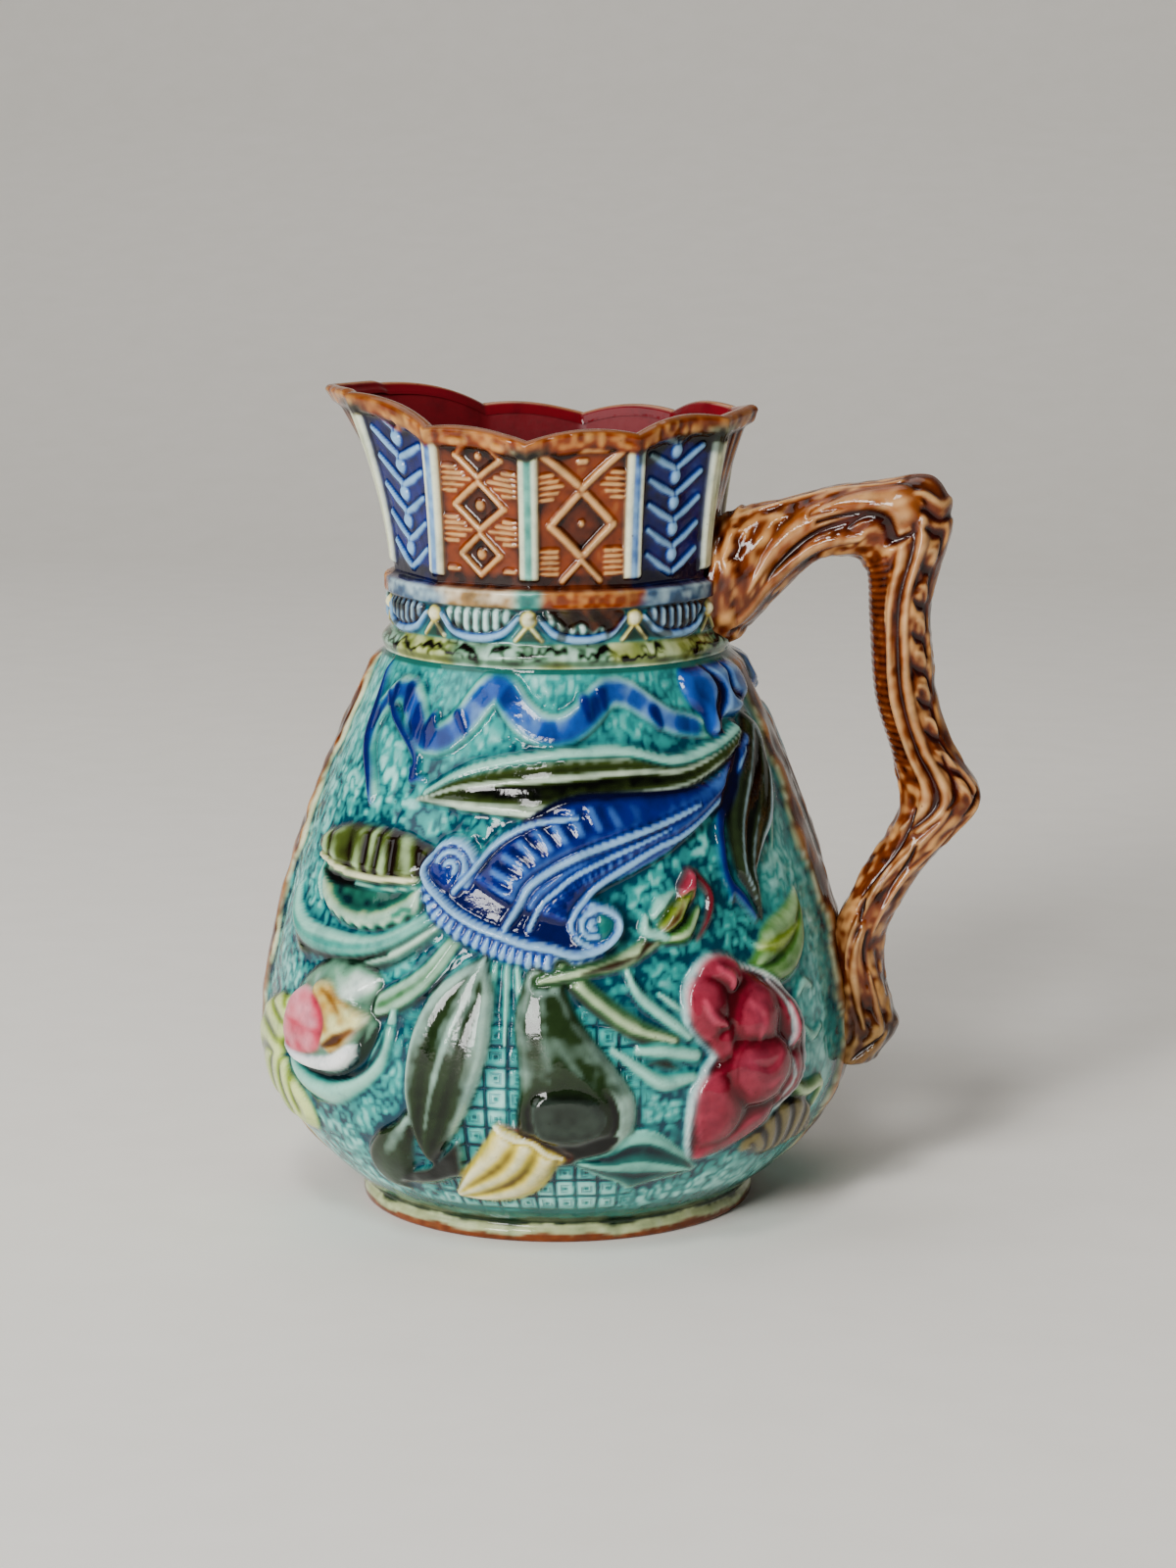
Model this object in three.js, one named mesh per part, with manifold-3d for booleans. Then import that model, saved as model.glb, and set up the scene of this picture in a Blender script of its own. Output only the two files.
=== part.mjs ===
// A majolica pitcher, slip-cast in one piece: a pear-shaped body with a horn of plenty in relief on each
// face, a ten-sided panelled neck with a scalloped rim and a spout, and a gnarled branch for a handle.
// Millimetres, +Z up. The spout points along -X and the handle along +X. The two faces look along -Y and +Y
// and mirror each other, so a place on the body is given as [degrees from the middle of its face towards the
// handle, percent of the shoulder's height]. The origin is on the ground, midway between the ends of spout
// and handle.
import * as THREE from "three";
import { mergeVertices } from "three/addons/utils/BufferGeometryUtils.js";
import Module from "manifold-3d";

const wasm = await Module();
wasm.setup();

// Body
const FOOT_RADIUS = 46.8;
const FOOT_HEIGHT = 3.2;
const FOOT_GROOVE_DEPTH = 0.9;
const FOOT_GROOVE_WIDTH = 1.4;
const BELLY_RADIUS = 69.4;
const BELLY_HEIGHT = 42;
const SHOULDER_HEIGHT = 132;
const LOWER_CURVE = 2.1;
const UPPER_CURVE = 1.6;
const BODY_WALL = 4.5;
const FLOOR_THICKNESS = 6;
const FLOOR_ROUND = 6;
const UNDERSIDE_RECESS = 2.2;
const FOOT_RING_WIDTH = 5.5;
const WAIST_RADIUS = FOOT_RADIUS - FOOT_GROOVE_DEPTH;
const WAIST_HEIGHT = FOOT_HEIGHT + FOOT_GROOVE_WIDTH;

// Collar between the body and the neck
const NECK_RADIUS = 38.2;
const SWAG_BAND_STEP = 0.8; // how far the band stands out from the neck
const SHOULDER_STEP = 2.4; // how far the shoulder does
const LOWER_RING_WIDTH = 6;
const LOWER_RING_RISE = 1.3;
const SWAG_BAND_WIDTH = 7.8;
const UPPER_RING_WIDTH = 3.8;
const UPPER_RING_RISE = 1.3;
const RING_EDGE = 0.5;
const SWAG_RISE = 1;
const SWAG_DROP = 4.6;
const SWAG_BAND_RADIUS = NECK_RADIUS + SWAG_BAND_STEP;
const SHOULDER_RADIUS = NECK_RADIUS + SHOULDER_STEP;
const LOWER_RING_HEIGHT = SHOULDER_HEIGHT + LOWER_RING_WIDTH / 2;
const SWAG_BAND_BOTTOM = SHOULDER_HEIGHT + LOWER_RING_WIDTH;
const UPPER_RING_BOTTOM = SWAG_BAND_BOTTOM + SWAG_BAND_WIDTH;
const UPPER_RING_TOP = UPPER_RING_BOTTOM + UPPER_RING_WIDTH;

// Neck
const PANELS = 10;
const NECK_HEIGHT = 33.5; // to the rim at its lowest
const NECK_WALL = 3.6;
const LIP_WALL = 2.6;
const FLARE_CURVE = 1.6;
const MOUTH_FLARE = 2.8; // how far the rim stands out from the neck's foot
const SPOUT_OVERHANG = 16.4; // how far the spout's tip does
const SPOUT_SPREAD = 55; // degrees each side of the spout
const HANDLE_LIP_OVERHANG = 10;
const HANDLE_LIP_SPREAD = 30;
const SPOUT_RISE = 9.2;
const SPOUT_RISE_SPREAD = 85; // degrees each side of the spout over which the rim rises to it
const SPOUT_RISE_TOP = 15; // and those at which it is up
const HANDLE_LIP_RISE = 5.6;
const SCALLOP_RISE = 2;
const PILASTER_HALF_WIDTH = 2.1;
const PILASTER_EDGE = 0.8;
const PILASTER_RISE = 1.3;
const PANEL_FLATNESS = 0.8; // 1 is a true decagon, 0 a circle
const RIM_BAND_HEIGHT = 4.6;
const RIM_BAND_RISE = 1.4;
const NECK_BOTTOM = UPPER_RING_TOP + RING_EDGE;
const RIM_HEIGHT = NECK_BOTTOM + NECK_HEIGHT;
const PANEL_WIDTH = (2 * Math.PI * NECK_RADIUS) / PANELS;

// Bark bands that run down the body under the spout and under the handle
const SIDE_BAND_HALF_WIDTH = 11;
const SIDE_BAND_RISE = 1.5;
const SIDE_BAND_WAVE = 1.6;
const SIDE_BAND_KNOTS = 5;

// Relief on the faces
const SKIN_RADIUS = 0.94 * BELLY_RADIUS; // the body's mean radius where the relief is
const MM_PER_DEGREE = (Math.PI / 180) * SKIN_RADIUS;
const RELIEF_EDGE = 2.4; // width over which a motif's edge rises from the ground
const RELIEF_BLUR = 1.3;
const RELIEF_FADE = 5; // height over which it fades out at the foot and the shoulder
const LEAF_RISE = 2.8;
const HORN_RISE = 4.8;
const LIP_RISE = 3.4;
const FLOWER_RISE = 4.6;
const STEM_RISE = 1.8;
const RIBBON_RISE = 1.6;
const KNOT_RISE = 2.6;

// Handle. Each section runs from an inner to an outer edge, and each edge is given as [out, up]: up is a
// percentage of the handle's height, out is one of its reach from the line between the neck and the belly.
const HANDLE_REACH = 52.4;
const HANDLE_DROP = 10.2; // the handle's top is this far under the rim
const HANDLE_FOOT_DROP = 6; // and its foot this far under the belly's widest place
const HANDLE_HALF_WIDTH = 8.4;
const HANDLE_ROOT_HALF_WIDTH = 10.5;
const HANDLE_SECTIONS = [
  { inner: [-28.6, 69], outer: [-15.3, 90], halfWidth: HANDLE_ROOT_HALF_WIDTH },
  { inner: [-1.9, 73.7], outer: [9.5, 94.2], halfWidth: HANDLE_ROOT_HALF_WIDTH },
  { inner: [13.5, 79.1], outer: [25.8, 95.8] },
  { inner: [33.2, 84.8], outer: [50, 98] },
  { inner: [45.6, 86.1], outer: [71.6, 99.1] },
  { inner: [54.2, 85.6], outer: [95.8, 100] },
  { inner: [55.7, 83.7], outer: [100, 93.6] },
  { inner: [52.3, 75.5], outer: [85.3, 81.3] },
  { inner: [47.5, 62], outer: [76.9, 67.5] },
  { inner: [49.6, 52.2], outer: [77.1, 55.9] },
  { inner: [49.2, 45.3], outer: [85.5, 45.4] },
  { inner: [41.2, 39.5], outer: [70.4, 38.8] },
  { inner: [21, 30], outer: [45, 29.5] },
  { inner: [6.7, 21.8], outer: [28.2, 19.6] },
  { inner: [-0.8, 10.2], outer: [25.6, 10.2] },
  { inner: [-5.3, 4.4], outer: [26.7, 5.1] },
  { inner: [-8, 0], outer: [15.3, 0] },
];
const HANDLE_SIDES = 10;
const HANDLE_STEPS_PER_SECTION = 2;

// Mesh
const BODY_ROWS = 27;
const PANEL_COLUMNS = 5; // across the flat of a panel
const FACE_GATHER = 8; // degrees by which the body's columns are drawn towards the middles of its faces
const NECK_ROWS = [0.03, 0.3, 0.55, 0.75, 0.83, 0.9, 1];
const CAVITY_COLUMNS = 32;
const CAVITY_BODY_ROWS = 8;
const CAVITY_NECK_ROWS = 4;
const CUT_CLEARANCE = 12; // how far a cutting solid runs past what it cuts

const glaze = new THREE.MeshStandardMaterial({ color: 0x3f9a96, roughness: 0.12, metalness: 0 });

const clamp01 = (x) => Math.min(1, Math.max(0, x));
const smooth = (x) => clamp01(x) ** 2 * (3 - 2 * clamp01(x));
const mix = (a, b, t) => a + (b - a) * t;
const radians = (degrees) => (degrees * Math.PI) / 180;

// Radius of the plain body, up to the shoulder.
function bodyRadius(z) {
  if (z <= FOOT_HEIGHT) return FOOT_RADIUS;
  if (z <= WAIST_HEIGHT) return WAIST_RADIUS;
  if (z < BELLY_HEIGHT) {
    const down = (BELLY_HEIGHT - z) / (BELLY_HEIGHT - WAIST_HEIGHT);
    return BELLY_RADIUS - (BELLY_RADIUS - WAIST_RADIUS) * down ** LOWER_CURVE;
  }
  const up = clamp01((z - BELLY_HEIGHT) / (SHOULDER_HEIGHT - BELLY_HEIGHT));
  return BELLY_RADIUS - (BELLY_RADIUS - SHOULDER_RADIUS) * up ** UPPER_CURVE;
}

// Radius of the mouldings and of the band between the body and the neck.
function collarRadius(z) {
  const lower = LOWER_RING_RISE * smooth(1 - Math.abs(z - LOWER_RING_HEIGHT) / (LOWER_RING_WIDTH / 2));
  const upper = z > UPPER_RING_BOTTOM && z < UPPER_RING_TOP ? UPPER_RING_RISE : 0;
  const fall = smooth((z - SHOULDER_HEIGHT) / LOWER_RING_WIDTH);
  return mix(SHOULDER_RADIUS, SWAG_BAND_RADIUS, fall) + lower + upper;
}

// Degrees away from the middle of the panel that a direction looks through, and the share of the way
// across that panel.
function panelPlace(theta) {
  const width = 360 / PANELS;
  const fromPilaster = (((theta - width / 2) % width) + width) % width;
  return { fromMiddle: fromPilaster - width / 2, share: fromPilaster / width };
}

// How strongly a direction is drawn out towards the spout, and towards the handle's lip.
const spoutPull = (theta) => clamp01(1 - (180 - Math.abs(theta)) / SPOUT_SPREAD) ** 1.5;
const lipPull = (theta) => clamp01(1 - Math.abs(theta) / HANDLE_LIP_SPREAD) ** 1.3;

function rimHeight(theta) {
  const away = Math.abs(theta);
  const risen = SPOUT_RISE_SPREAD - SPOUT_RISE_TOP;
  const towardsSpout = clamp01((away - 180 + SPOUT_RISE_SPREAD) / risen) ** 1.6;
  const towardsHandle = clamp01((90 - away) / 90) ** 1.5;
  const { share } = panelPlace(theta);
  const endPanel = away > 180 - 180 / PANELS || away < 180 / PANELS;
  const scallop = endPanel ? 0 : SCALLOP_RISE * (1 - (2 * share - 1) ** 2);
  return RIM_HEIGHT + SPOUT_RISE * towardsSpout + HANDLE_LIP_RISE * towardsHandle + scallop;
}

// Radius of the plain neck: a decagon that flares to the rim. share runs from 0 at its foot to 1 at the rim.
function neckRadius(theta, share) {
  const overhang =
    MOUTH_FLARE +
    (SPOUT_OVERHANG - MOUTH_FLARE) * spoutPull(theta) +
    (HANDLE_LIP_OVERHANG - MOUTH_FLARE) * lipPull(theta);
  const round = NECK_RADIUS + overhang * share ** FLARE_CURVE;
  const halfPanel = radians(180 / PANELS);
  const flat = Math.cos(halfPanel) / Math.cos(radians(panelPlace(theta).fromMiddle));
  return round * mix(1, flat, PANEL_FLATNESS * (1 - spoutPull(theta) * share));
}

// Pilasters at the panels' edges, and the band under the rim.
function neckRelief(theta, share) {
  const across = panelPlace(theta).share;
  const fromPilaster = Math.min(across, 1 - across) * PANEL_WIDTH;
  const depth = (1 - share) * (rimHeight(theta) - NECK_BOTTOM);
  const band = smooth(RIM_BAND_HEIGHT - depth + 0.5);
  const pilaster = smooth((PILASTER_HALF_WIDTH - fromPilaster) / PILASTER_EDGE + 0.5);
  return Math.max(PILASTER_RISE * pilaster, RIM_BAND_RISE * band);
}

// Relief motifs. Each is a function of a place on a face, in mm along the skin and up, that gives its rise.
// Their widths, like their heights, are percentages of the shoulder's height.
const skinLength = (percent) => (percent / 100) * SHOULDER_HEIGHT;
const onSkin = ([angle, percent]) => new THREE.Vector2(angle * MM_PER_DEGREE, skinLength(percent));

const raised = (inside, rise) => rise * Math.sqrt(smooth(inside / RELIEF_EDGE));

// The gap between a place and the nearest point of a curved middle line, and how far along that point is.
const SPINE_STEPS = 20;

function spine(root, bend, end) {
  const curve = new THREE.QuadraticBezierCurve(onSkin(root), onSkin(bend), onSkin(end));
  const points = curve.getPoints(SPINE_STEPS);
  return (place) => {
    const gaps = points.map((point) => point.distanceTo(place));
    const gap = Math.min(...gaps);
    return { gap, along: gaps.indexOf(gap) / SPINE_STEPS };
  };
}

// A leaf: widest near its middle, pointed at its end, with a groove down its midrib.
function leaf(root, bend, tip, width, rise = LEAF_RISE) {
  const nearest = spine(root, bend, tip);
  return (place) => {
    const { gap, along } = nearest(place);
    const half = (skinLength(width) / 2) * Math.sin(Math.PI * Math.min(0.97, 0.12 + 0.85 * along)) ** 0.7;
    const groove = 0.4 * rise * smooth(1 - gap / (skinLength(width) / 6));
    return Math.max(0, raised(half - gap, rise) - groove);
  };
}

function stem(root, bend, end, width, rise = STEM_RISE) {
  const nearest = spine(root, bend, end);
  return (place) => raised(skinLength(width) / 2 - nearest(place).gap, rise);
}

// A rounded lump, such as a petal or a bud: an ellipse turned by an angle in degrees.
function lobe(middle, width, height, turn, rise = FLOWER_RISE) {
  const centre = onSkin(middle);
  return (place) => {
    const across = place.clone().sub(centre).rotateAround(new THREE.Vector2(), -radians(turn));
    const out = 2 * Math.hypot(across.x / skinLength(width), across.y / skinLength(height));
    return rise * Math.sqrt(Math.max(0, 1 - out ** 2));
  };
}

// The horn of plenty: a tube that tapers from its bell to its tail.
const HORN_BELL = [4, 64];
const HORN_BEND = [22, 73];
const HORN_TAIL = [68, 87];
const HORN_BELL_WIDTH = 19.7;
const HORN_TUBE_WIDTH = 10.6;
const HORN_TAIL_WIDTH = 3;

function horn() {
  const nearest = spine(HORN_BELL, HORN_BEND, HORN_TAIL);
  return (place) => {
    const { gap, along } = nearest(place);
    const flare = (HORN_BELL_WIDTH - HORN_TUBE_WIDTH) * (1 - along) ** 4;
    const half = skinLength(mix(HORN_TUBE_WIDTH, HORN_TAIL_WIDTH, along) + flare) / 2;
    return mix(HORN_RISE, LEAF_RISE, along) * Math.sqrt(Math.max(0, 1 - (gap / half) ** 2));
  };
}

// The ribbon: a wavy band that hangs from the knot by the handle and falls at its far end.
const RIBBON_LEVEL = 93;
const RIBBON_WAVE = 2.9;
const RIBBON_WAVELENGTH = 40;
const RIBBON_WIDTH = 4.1;
const RIBBON_FROM = -50;
const RIBBON_TO = 52;
const RIBBON_SHIFT = 8;

function ribbon() {
  const level = onSkin([0, RIBBON_LEVEL]).y;
  const turns = (angle) => ((angle + RIBBON_SHIFT) * 2 * Math.PI) / RIBBON_WAVELENGTH;
  const tail = stem([RIBBON_FROM, RIBBON_LEVEL], [-48, 86], [-41, 79], RIBBON_WIDTH, RIBBON_RISE);
  return (place) => {
    const angle = place.x / MM_PER_DEGREE;
    if (angle < RIBBON_FROM || angle > RIBBON_TO) return tail(place);
    const off = Math.abs(place.y - level - skinLength(RIBBON_WAVE) * Math.cos(turns(angle)));
    return Math.max(raised(skinLength(RIBBON_WIDTH) / 2 - off, RIBBON_RISE), tail(place));
  };
}

const faceMotifs = [
  horn(),
  lobe([1, 62], 35.6, 18.2, -11, LIP_RISE), // the bell's lip, with its fringe
  lobe([-14, 68.5], 9.8, 7.6, 30, HORN_RISE), // scroll at the lip's upper end
  lobe([17, 59.5], 9.8, 8.3, 10, HORN_RISE), // scroll at its lower end
  ribbon(),
  leaf([68, 87], [28, 85], [-28, 77.5], 11.4), // long leaf over the horn
  leaf([71, 85], [54, 75], [55, 57], 9.1), // leaf that hangs from the knot
  lobe([58, 97], 10.6, 6.8, 0, KNOT_RISE), // knot
  lobe([76, 97], 13.6, 6.8, -10, KNOT_RISE),
  lobe([66, 91], 11.4, 8.3, 20, KNOT_RISE),
  lobe([-37, 68.5], 27.3, 9.1, 4, LEAF_RISE), // half-open flower, over its cup
  lobe([-36, 60.5], 27.3, 9.8, 2, LEAF_RISE),
  stem([-57, 53], [-38, 48], [-13, 60], 3.8),
  stem([-27, 43.5], [-20, 46], [-11, 56], 3.4),
  lobe([-38.5, 38.5], 22, 22.7, -10), // round bud
  leaf([-52, 43], [-69, 33], [-50, 23], 9.8, STEM_RISE),
  leaf([-4, 55], [-12, 36], [-16.6, 18], 13.6), // leaves under the lip
  leaf([-17, 28], [-28, 23], [-32, 10], 9.1),
  leaf([5, 53], [8, 38], [13, 20], 15.2),
  lobe([12.5, 27], 19.7, 19.7, 0, LEAF_RISE),
  lobe([-1, 17], 18.2, 11.4, 25, LEAF_RISE), // curled petal
  lobe([41, 47], 15.2, 15.2, 20), // rose
  lobe([51, 40], 15.9, 16.7, -20),
  lobe([54, 31], 14.4, 15.2, 0),
  lobe([42, 33], 15.2, 18.2, 10),
  lobe([42, 23], 15.2, 12.1, -10),
  leaf([50, 47], [56, 55], [69, 57], 7.6),
  leaf([51, 20], [60, 26], [73, 16], 9.1),
  stem([16, 53], [24, 54.5], [32, 58], 3),
  lobe([37, 62], 6.8, 10.6, -50, LEAF_RISE), // small bud
  stem([11, 52], [16, 46], [31, 40], 3.4),
  stem([21, 38], [25, 33], [35, 33], 3),
  leaf([14, 19], [26, 24], [38, 15], 9.1),
];

// A bark band in the middle of each side, with a wavy, knotted edge.
function sideBand(theta, z) {
  const fromSide = Math.min(Math.abs(theta), 180 - Math.abs(theta));
  const off = radians(fromSide) * bodyRadius(z);
  const share = clamp01(z / SHOULDER_HEIGHT);
  const wave = SIDE_BAND_WAVE * Math.sin(2 * Math.PI * SIDE_BAND_KNOTS * share);
  const half = SIDE_BAND_HALF_WIDTH * mix(1, bodyRadius(z) / BELLY_RADIUS, 0.8) + wave;
  return raised((half - off) * 1.2, SIDE_BAND_RISE);
}

// The highest motif at a place, averaged over a small cross so that edges run smoothly into the ground.
function faceRelief(theta, z) {
  const height = ([across, up]) => {
    const place = new THREE.Vector2((90 - Math.abs(theta)) * MM_PER_DEGREE + across, z + up);
    return Math.max(...faceMotifs.map((rise) => rise(place)));
  };
  const cross = [[0, 0], [0, 0], [1, 0], [-1, 0], [0, 1], [0, -1]];
  return cross.reduce((sum, [x, y]) => sum + height([x * RELIEF_BLUR, y * RELIEF_BLUR]), 0) / cross.length;
}

function bodyRelief(theta, z) {
  const fade = smooth((z - WAIST_HEIGHT) / RELIEF_FADE) * smooth((SHOULDER_HEIGHT - z) / RELIEF_FADE);
  return fade * Math.max(faceRelief(theta, z), sideBand(theta, z));
}

// Swags in the hollow of the collar, one for each panel.
function swagRelief(theta, z) {
  const { share } = panelPlace(theta);
  const drop = UPPER_RING_BOTTOM - z;
  const hang = SWAG_DROP * (1 - (2 * share - 1) ** 2) + 2;
  return z > SWAG_BAND_BOTTOM && drop > 0 ? SWAG_RISE * smooth((hang - drop) / 1.5 + 0.5) : 0;
}

const polar = (theta, radius, z) => new THREE.Vector3(
  radius * Math.cos(radians(theta)),
  radius * Math.sin(radians(theta)),
  z,
);

// A closed skin through rows of points that go round, from the lowest row to the highest. Each square
// is split along its shorter diagonal.
function skin(rows) {
  const columns = rows[0].length;
  const points = rows.flat();
  const faces = [];
  const at = (row, column) => row * columns + (column % columns);
  for (let row = 0; row + 1 < rows.length; row += 1) {
    for (let column = 0; column < columns; column += 1) {
      const [a, b] = [at(row, column), at(row, column + 1)];
      const [d, c] = [at(row + 1, column), at(row + 1, column + 1)];
      const short = points[a].distanceTo(points[c]) <= points[b].distanceTo(points[d]);
      faces.push(...(short ? [a, b, c, a, c, d] : [a, b, d, b, c, d]));
    }
  }
  const middle = (row) => row.reduce((sum, point) => sum.add(point), new THREE.Vector3())
    .divideScalar(columns);
  const last = rows.length - 1;
  const bottom = points.push(middle(rows[0])) - 1;
  const top = points.push(middle(rows[last])) - 1;
  for (let column = 0; column < columns; column += 1) {
    faces.push(bottom, at(0, column + 1), at(0, column));
    faces.push(top, at(last, column), at(last, column + 1));
  }
  return new THREE.BufferGeometry().setFromPoints(points).setIndex(faces);
}

function solid(geometry) {
  const bare = geometry.clone();
  bare.deleteAttribute("normal");
  bare.deleteAttribute("uv");
  const merged = mergeVertices(bare, 1e-4);
  return new wasm.Manifold(new wasm.Mesh({
    numProp: 3,
    vertProperties: merged.attributes.position.array,
    triVerts: new Uint32Array(merged.index.array),
  }));
}

function geometryOf(made) {
  const mesh = made.getMesh();
  const geometry = new THREE.BufferGeometry();
  geometry.setAttribute("position", new THREE.BufferAttribute(mesh.vertProperties, mesh.numProp));
  geometry.setIndex(new THREE.BufferAttribute(mesh.triVerts, 1));
  geometry.computeVertexNormals();
  return geometry;
}

// The directions of a panel's columns, as shares of the way across it: two at each edge of its pilasters.
function panelColumns() {
  const inEdge = (PILASTER_HALF_WIDTH - PILASTER_EDGE / 2) / PANEL_WIDTH;
  const outEdge = (PILASTER_HALF_WIDTH + PILASTER_EDGE / 2) / PANEL_WIDTH;
  const flat = Array.from({ length: PANEL_COLUMNS + 1 }, (_, index) =>
    mix(outEdge, 1 - outEdge, index / PANEL_COLUMNS));
  return [0, inEdge, ...flat, 1 - inEdge];
}

// The whole outside of the body, collar and neck, filled in.
function outside() {
  const neckColumns = [];
  for (let panel = 0; panel < PANELS; panel += 1) {
    for (const share of panelColumns()) neckColumns.push(((panel + 0.5 + share) * 360) / PANELS - 180);
  }
  const even = 360 / neckColumns.length;
  const bodyColumns = neckColumns.map((_, index) => {
    const theta = neckColumns[0] + index * even;
    return theta + FACE_GATHER * Math.sin(radians(2 * theta));
  });
  const turned = (theta) => (theta > 180 ? theta - 360 : theta);
  const gatherHeight = 20; // over which the body's even columns gather at the pilasters
  const columnsAt = (z) => bodyColumns.map((theta, index) =>
    turned(mix(theta, neckColumns[index], smooth((z - SHOULDER_HEIGHT) / gatherHeight + 1))));

  const rows = [];
  for (const z of [0, FOOT_HEIGHT, WAIST_HEIGHT]) {
    rows.push(columnsAt(z).map((theta) => polar(theta, bodyRadius(z), z)));
  }
  for (let row = 1; row < BODY_ROWS; row += 1) {
    const z = mix(WAIST_HEIGHT, SHOULDER_HEIGHT, row / BODY_ROWS);
    rows.push(columnsAt(z).map((theta) => polar(theta, bodyRadius(z) + bodyRelief(theta, z), z)));
  }
  const swagMiddle = (SWAG_BAND_BOTTOM + UPPER_RING_BOTTOM) / 2;
  for (const z of [SHOULDER_HEIGHT, LOWER_RING_HEIGHT, SWAG_BAND_BOTTOM, swagMiddle, UPPER_RING_BOTTOM,
    UPPER_RING_BOTTOM + RING_EDGE, UPPER_RING_TOP - RING_EDGE]) {
    rows.push(columnsAt(z).map((theta) => polar(theta, collarRadius(z) + swagRelief(theta, z), z)));
  }
  for (const share of NECK_ROWS) {
    rows.push(neckColumns.map((theta) => {
      const z = mix(NECK_BOTTOM, rimHeight(turned(theta)), share);
      return polar(theta, neckRadius(turned(theta), share) + neckRelief(turned(theta), share), z);
    }));
  }
  const lip = rows[rows.length - 1];
  const lipInside = 0.8; // share of the radius at which the filled-in mouth turns level
  rows.push(lip.map((point) => new THREE.Vector3(point.x * lipInside, point.y * lipInside, point.z)));
  return solid(skin(rows));
}

// The space inside, which runs on above the rim so that it cuts the mouth open.
function cavity() {
  const columns = Array.from({ length: CAVITY_COLUMNS }, (_, index) =>
    ((index + 0.5) * 360) / CAVITY_COLUMNS - 180);
  const rows = [];
  const floor = FLOOR_THICKNESS + UNDERSIDE_RECESS;
  const sideBottom = floor + FLOOR_ROUND;
  rows.push(columns.map((theta) => polar(theta, bodyRadius(sideBottom) - BODY_WALL - FLOOR_ROUND, floor)));
  for (let row = 0; row <= CAVITY_BODY_ROWS; row += 1) {
    const z = mix(sideBottom, SHOULDER_HEIGHT, row / CAVITY_BODY_ROWS);
    rows.push(columns.map((theta) => polar(theta, bodyRadius(z) - BODY_WALL, z)));
  }
  const neckSkin = (theta, share) => {
    const wall = mix(NECK_WALL, LIP_WALL, share);
    return neckRadius(theta, share) - wall;
  };
  for (let row = 0; row <= CAVITY_NECK_ROWS; row += 1) {
    const share = row / CAVITY_NECK_ROWS;
    rows.push(columns.map((theta) =>
      polar(theta, neckSkin(theta, share), mix(NECK_BOTTOM, rimHeight(theta), share))));
  }
  rows.push(columns.map((theta) => polar(theta, neckSkin(theta, 1), rimHeight(theta) + CUT_CLEARANCE)));
  return solid(skin(rows));
}

// A shallow hollow inside the foot ring.
function undersideRecess() {
  const radius = FOOT_RADIUS - FOOT_RING_WIDTH;
  const taper = 1.5;
  const hollow = new THREE.CylinderGeometry(
    radius - taper, radius + taper, 2 * UNDERSIDE_RECESS, CAVITY_COLUMNS);
  hollow.rotateX(Math.PI / 2);
  return solid(hollow);
}

// The branch: oval sections across the handle, with a smooth run from one section to the next.
function handle() {
  const top = RIM_HEIGHT - HANDLE_DROP;
  const foot = BELLY_HEIGHT - HANDLE_FOOT_DROP;
  const placed = ([out, percent]) => {
    const share = percent / 100;
    const line = mix(BELLY_RADIUS, NECK_RADIUS, share);
    return new THREE.Vector3(line + (HANDLE_REACH * out) / 100, 0, mix(foot, top, share));
  };
  const along = (pick) => new THREE.CatmullRomCurve3(HANDLE_SECTIONS.map(pick), false, "centripetal");
  const inner = along((section) => placed(section.inner));
  const outer = along((section) => placed(section.outer));
  const steps = HANDLE_STEPS_PER_SECTION * (HANDLE_SECTIONS.length - 1);
  const halfWidthAt = (share) => {
    const place = share * (HANDLE_SECTIONS.length - 1);
    const [from, to] = [Math.floor(place), Math.ceil(place)].map((index) =>
      HANDLE_SECTIONS[index].halfWidth ?? HANDLE_HALF_WIDTH);
    return mix(from, to, place % 1);
  };
  const rows = [];
  for (let step = steps; step >= 0; step -= 1) {
    const from = inner.getPoint(step / steps);
    const half = outer.getPoint(step / steps).sub(from).multiplyScalar(0.5);
    const centre = from.clone().add(half);
    rows.push(Array.from({ length: HANDLE_SIDES }, (_, side) => {
      const turn = (2 * Math.PI * side) / HANDLE_SIDES;
      const point = centre.clone().addScaledVector(half, Math.cos(turn));
      point.y = halfWidthAt(step / steps) * Math.sin(turn);
      return point;
    }));
  }
  return solid(skin(rows));
}

const vessel = outside().add(handle()).subtract(cavity()).subtract(undersideRecess());

const pitcher = new THREE.Mesh(geometryOf(vessel), glaze);
pitcher.name = "pitcher";

const group = new THREE.Group();
group.add(pitcher);
const reach = new THREE.Box3().setFromObject(pitcher);
group.position.x = -(reach.min.x + reach.max.x) / 2;

export default group;
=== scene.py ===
import math

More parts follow.
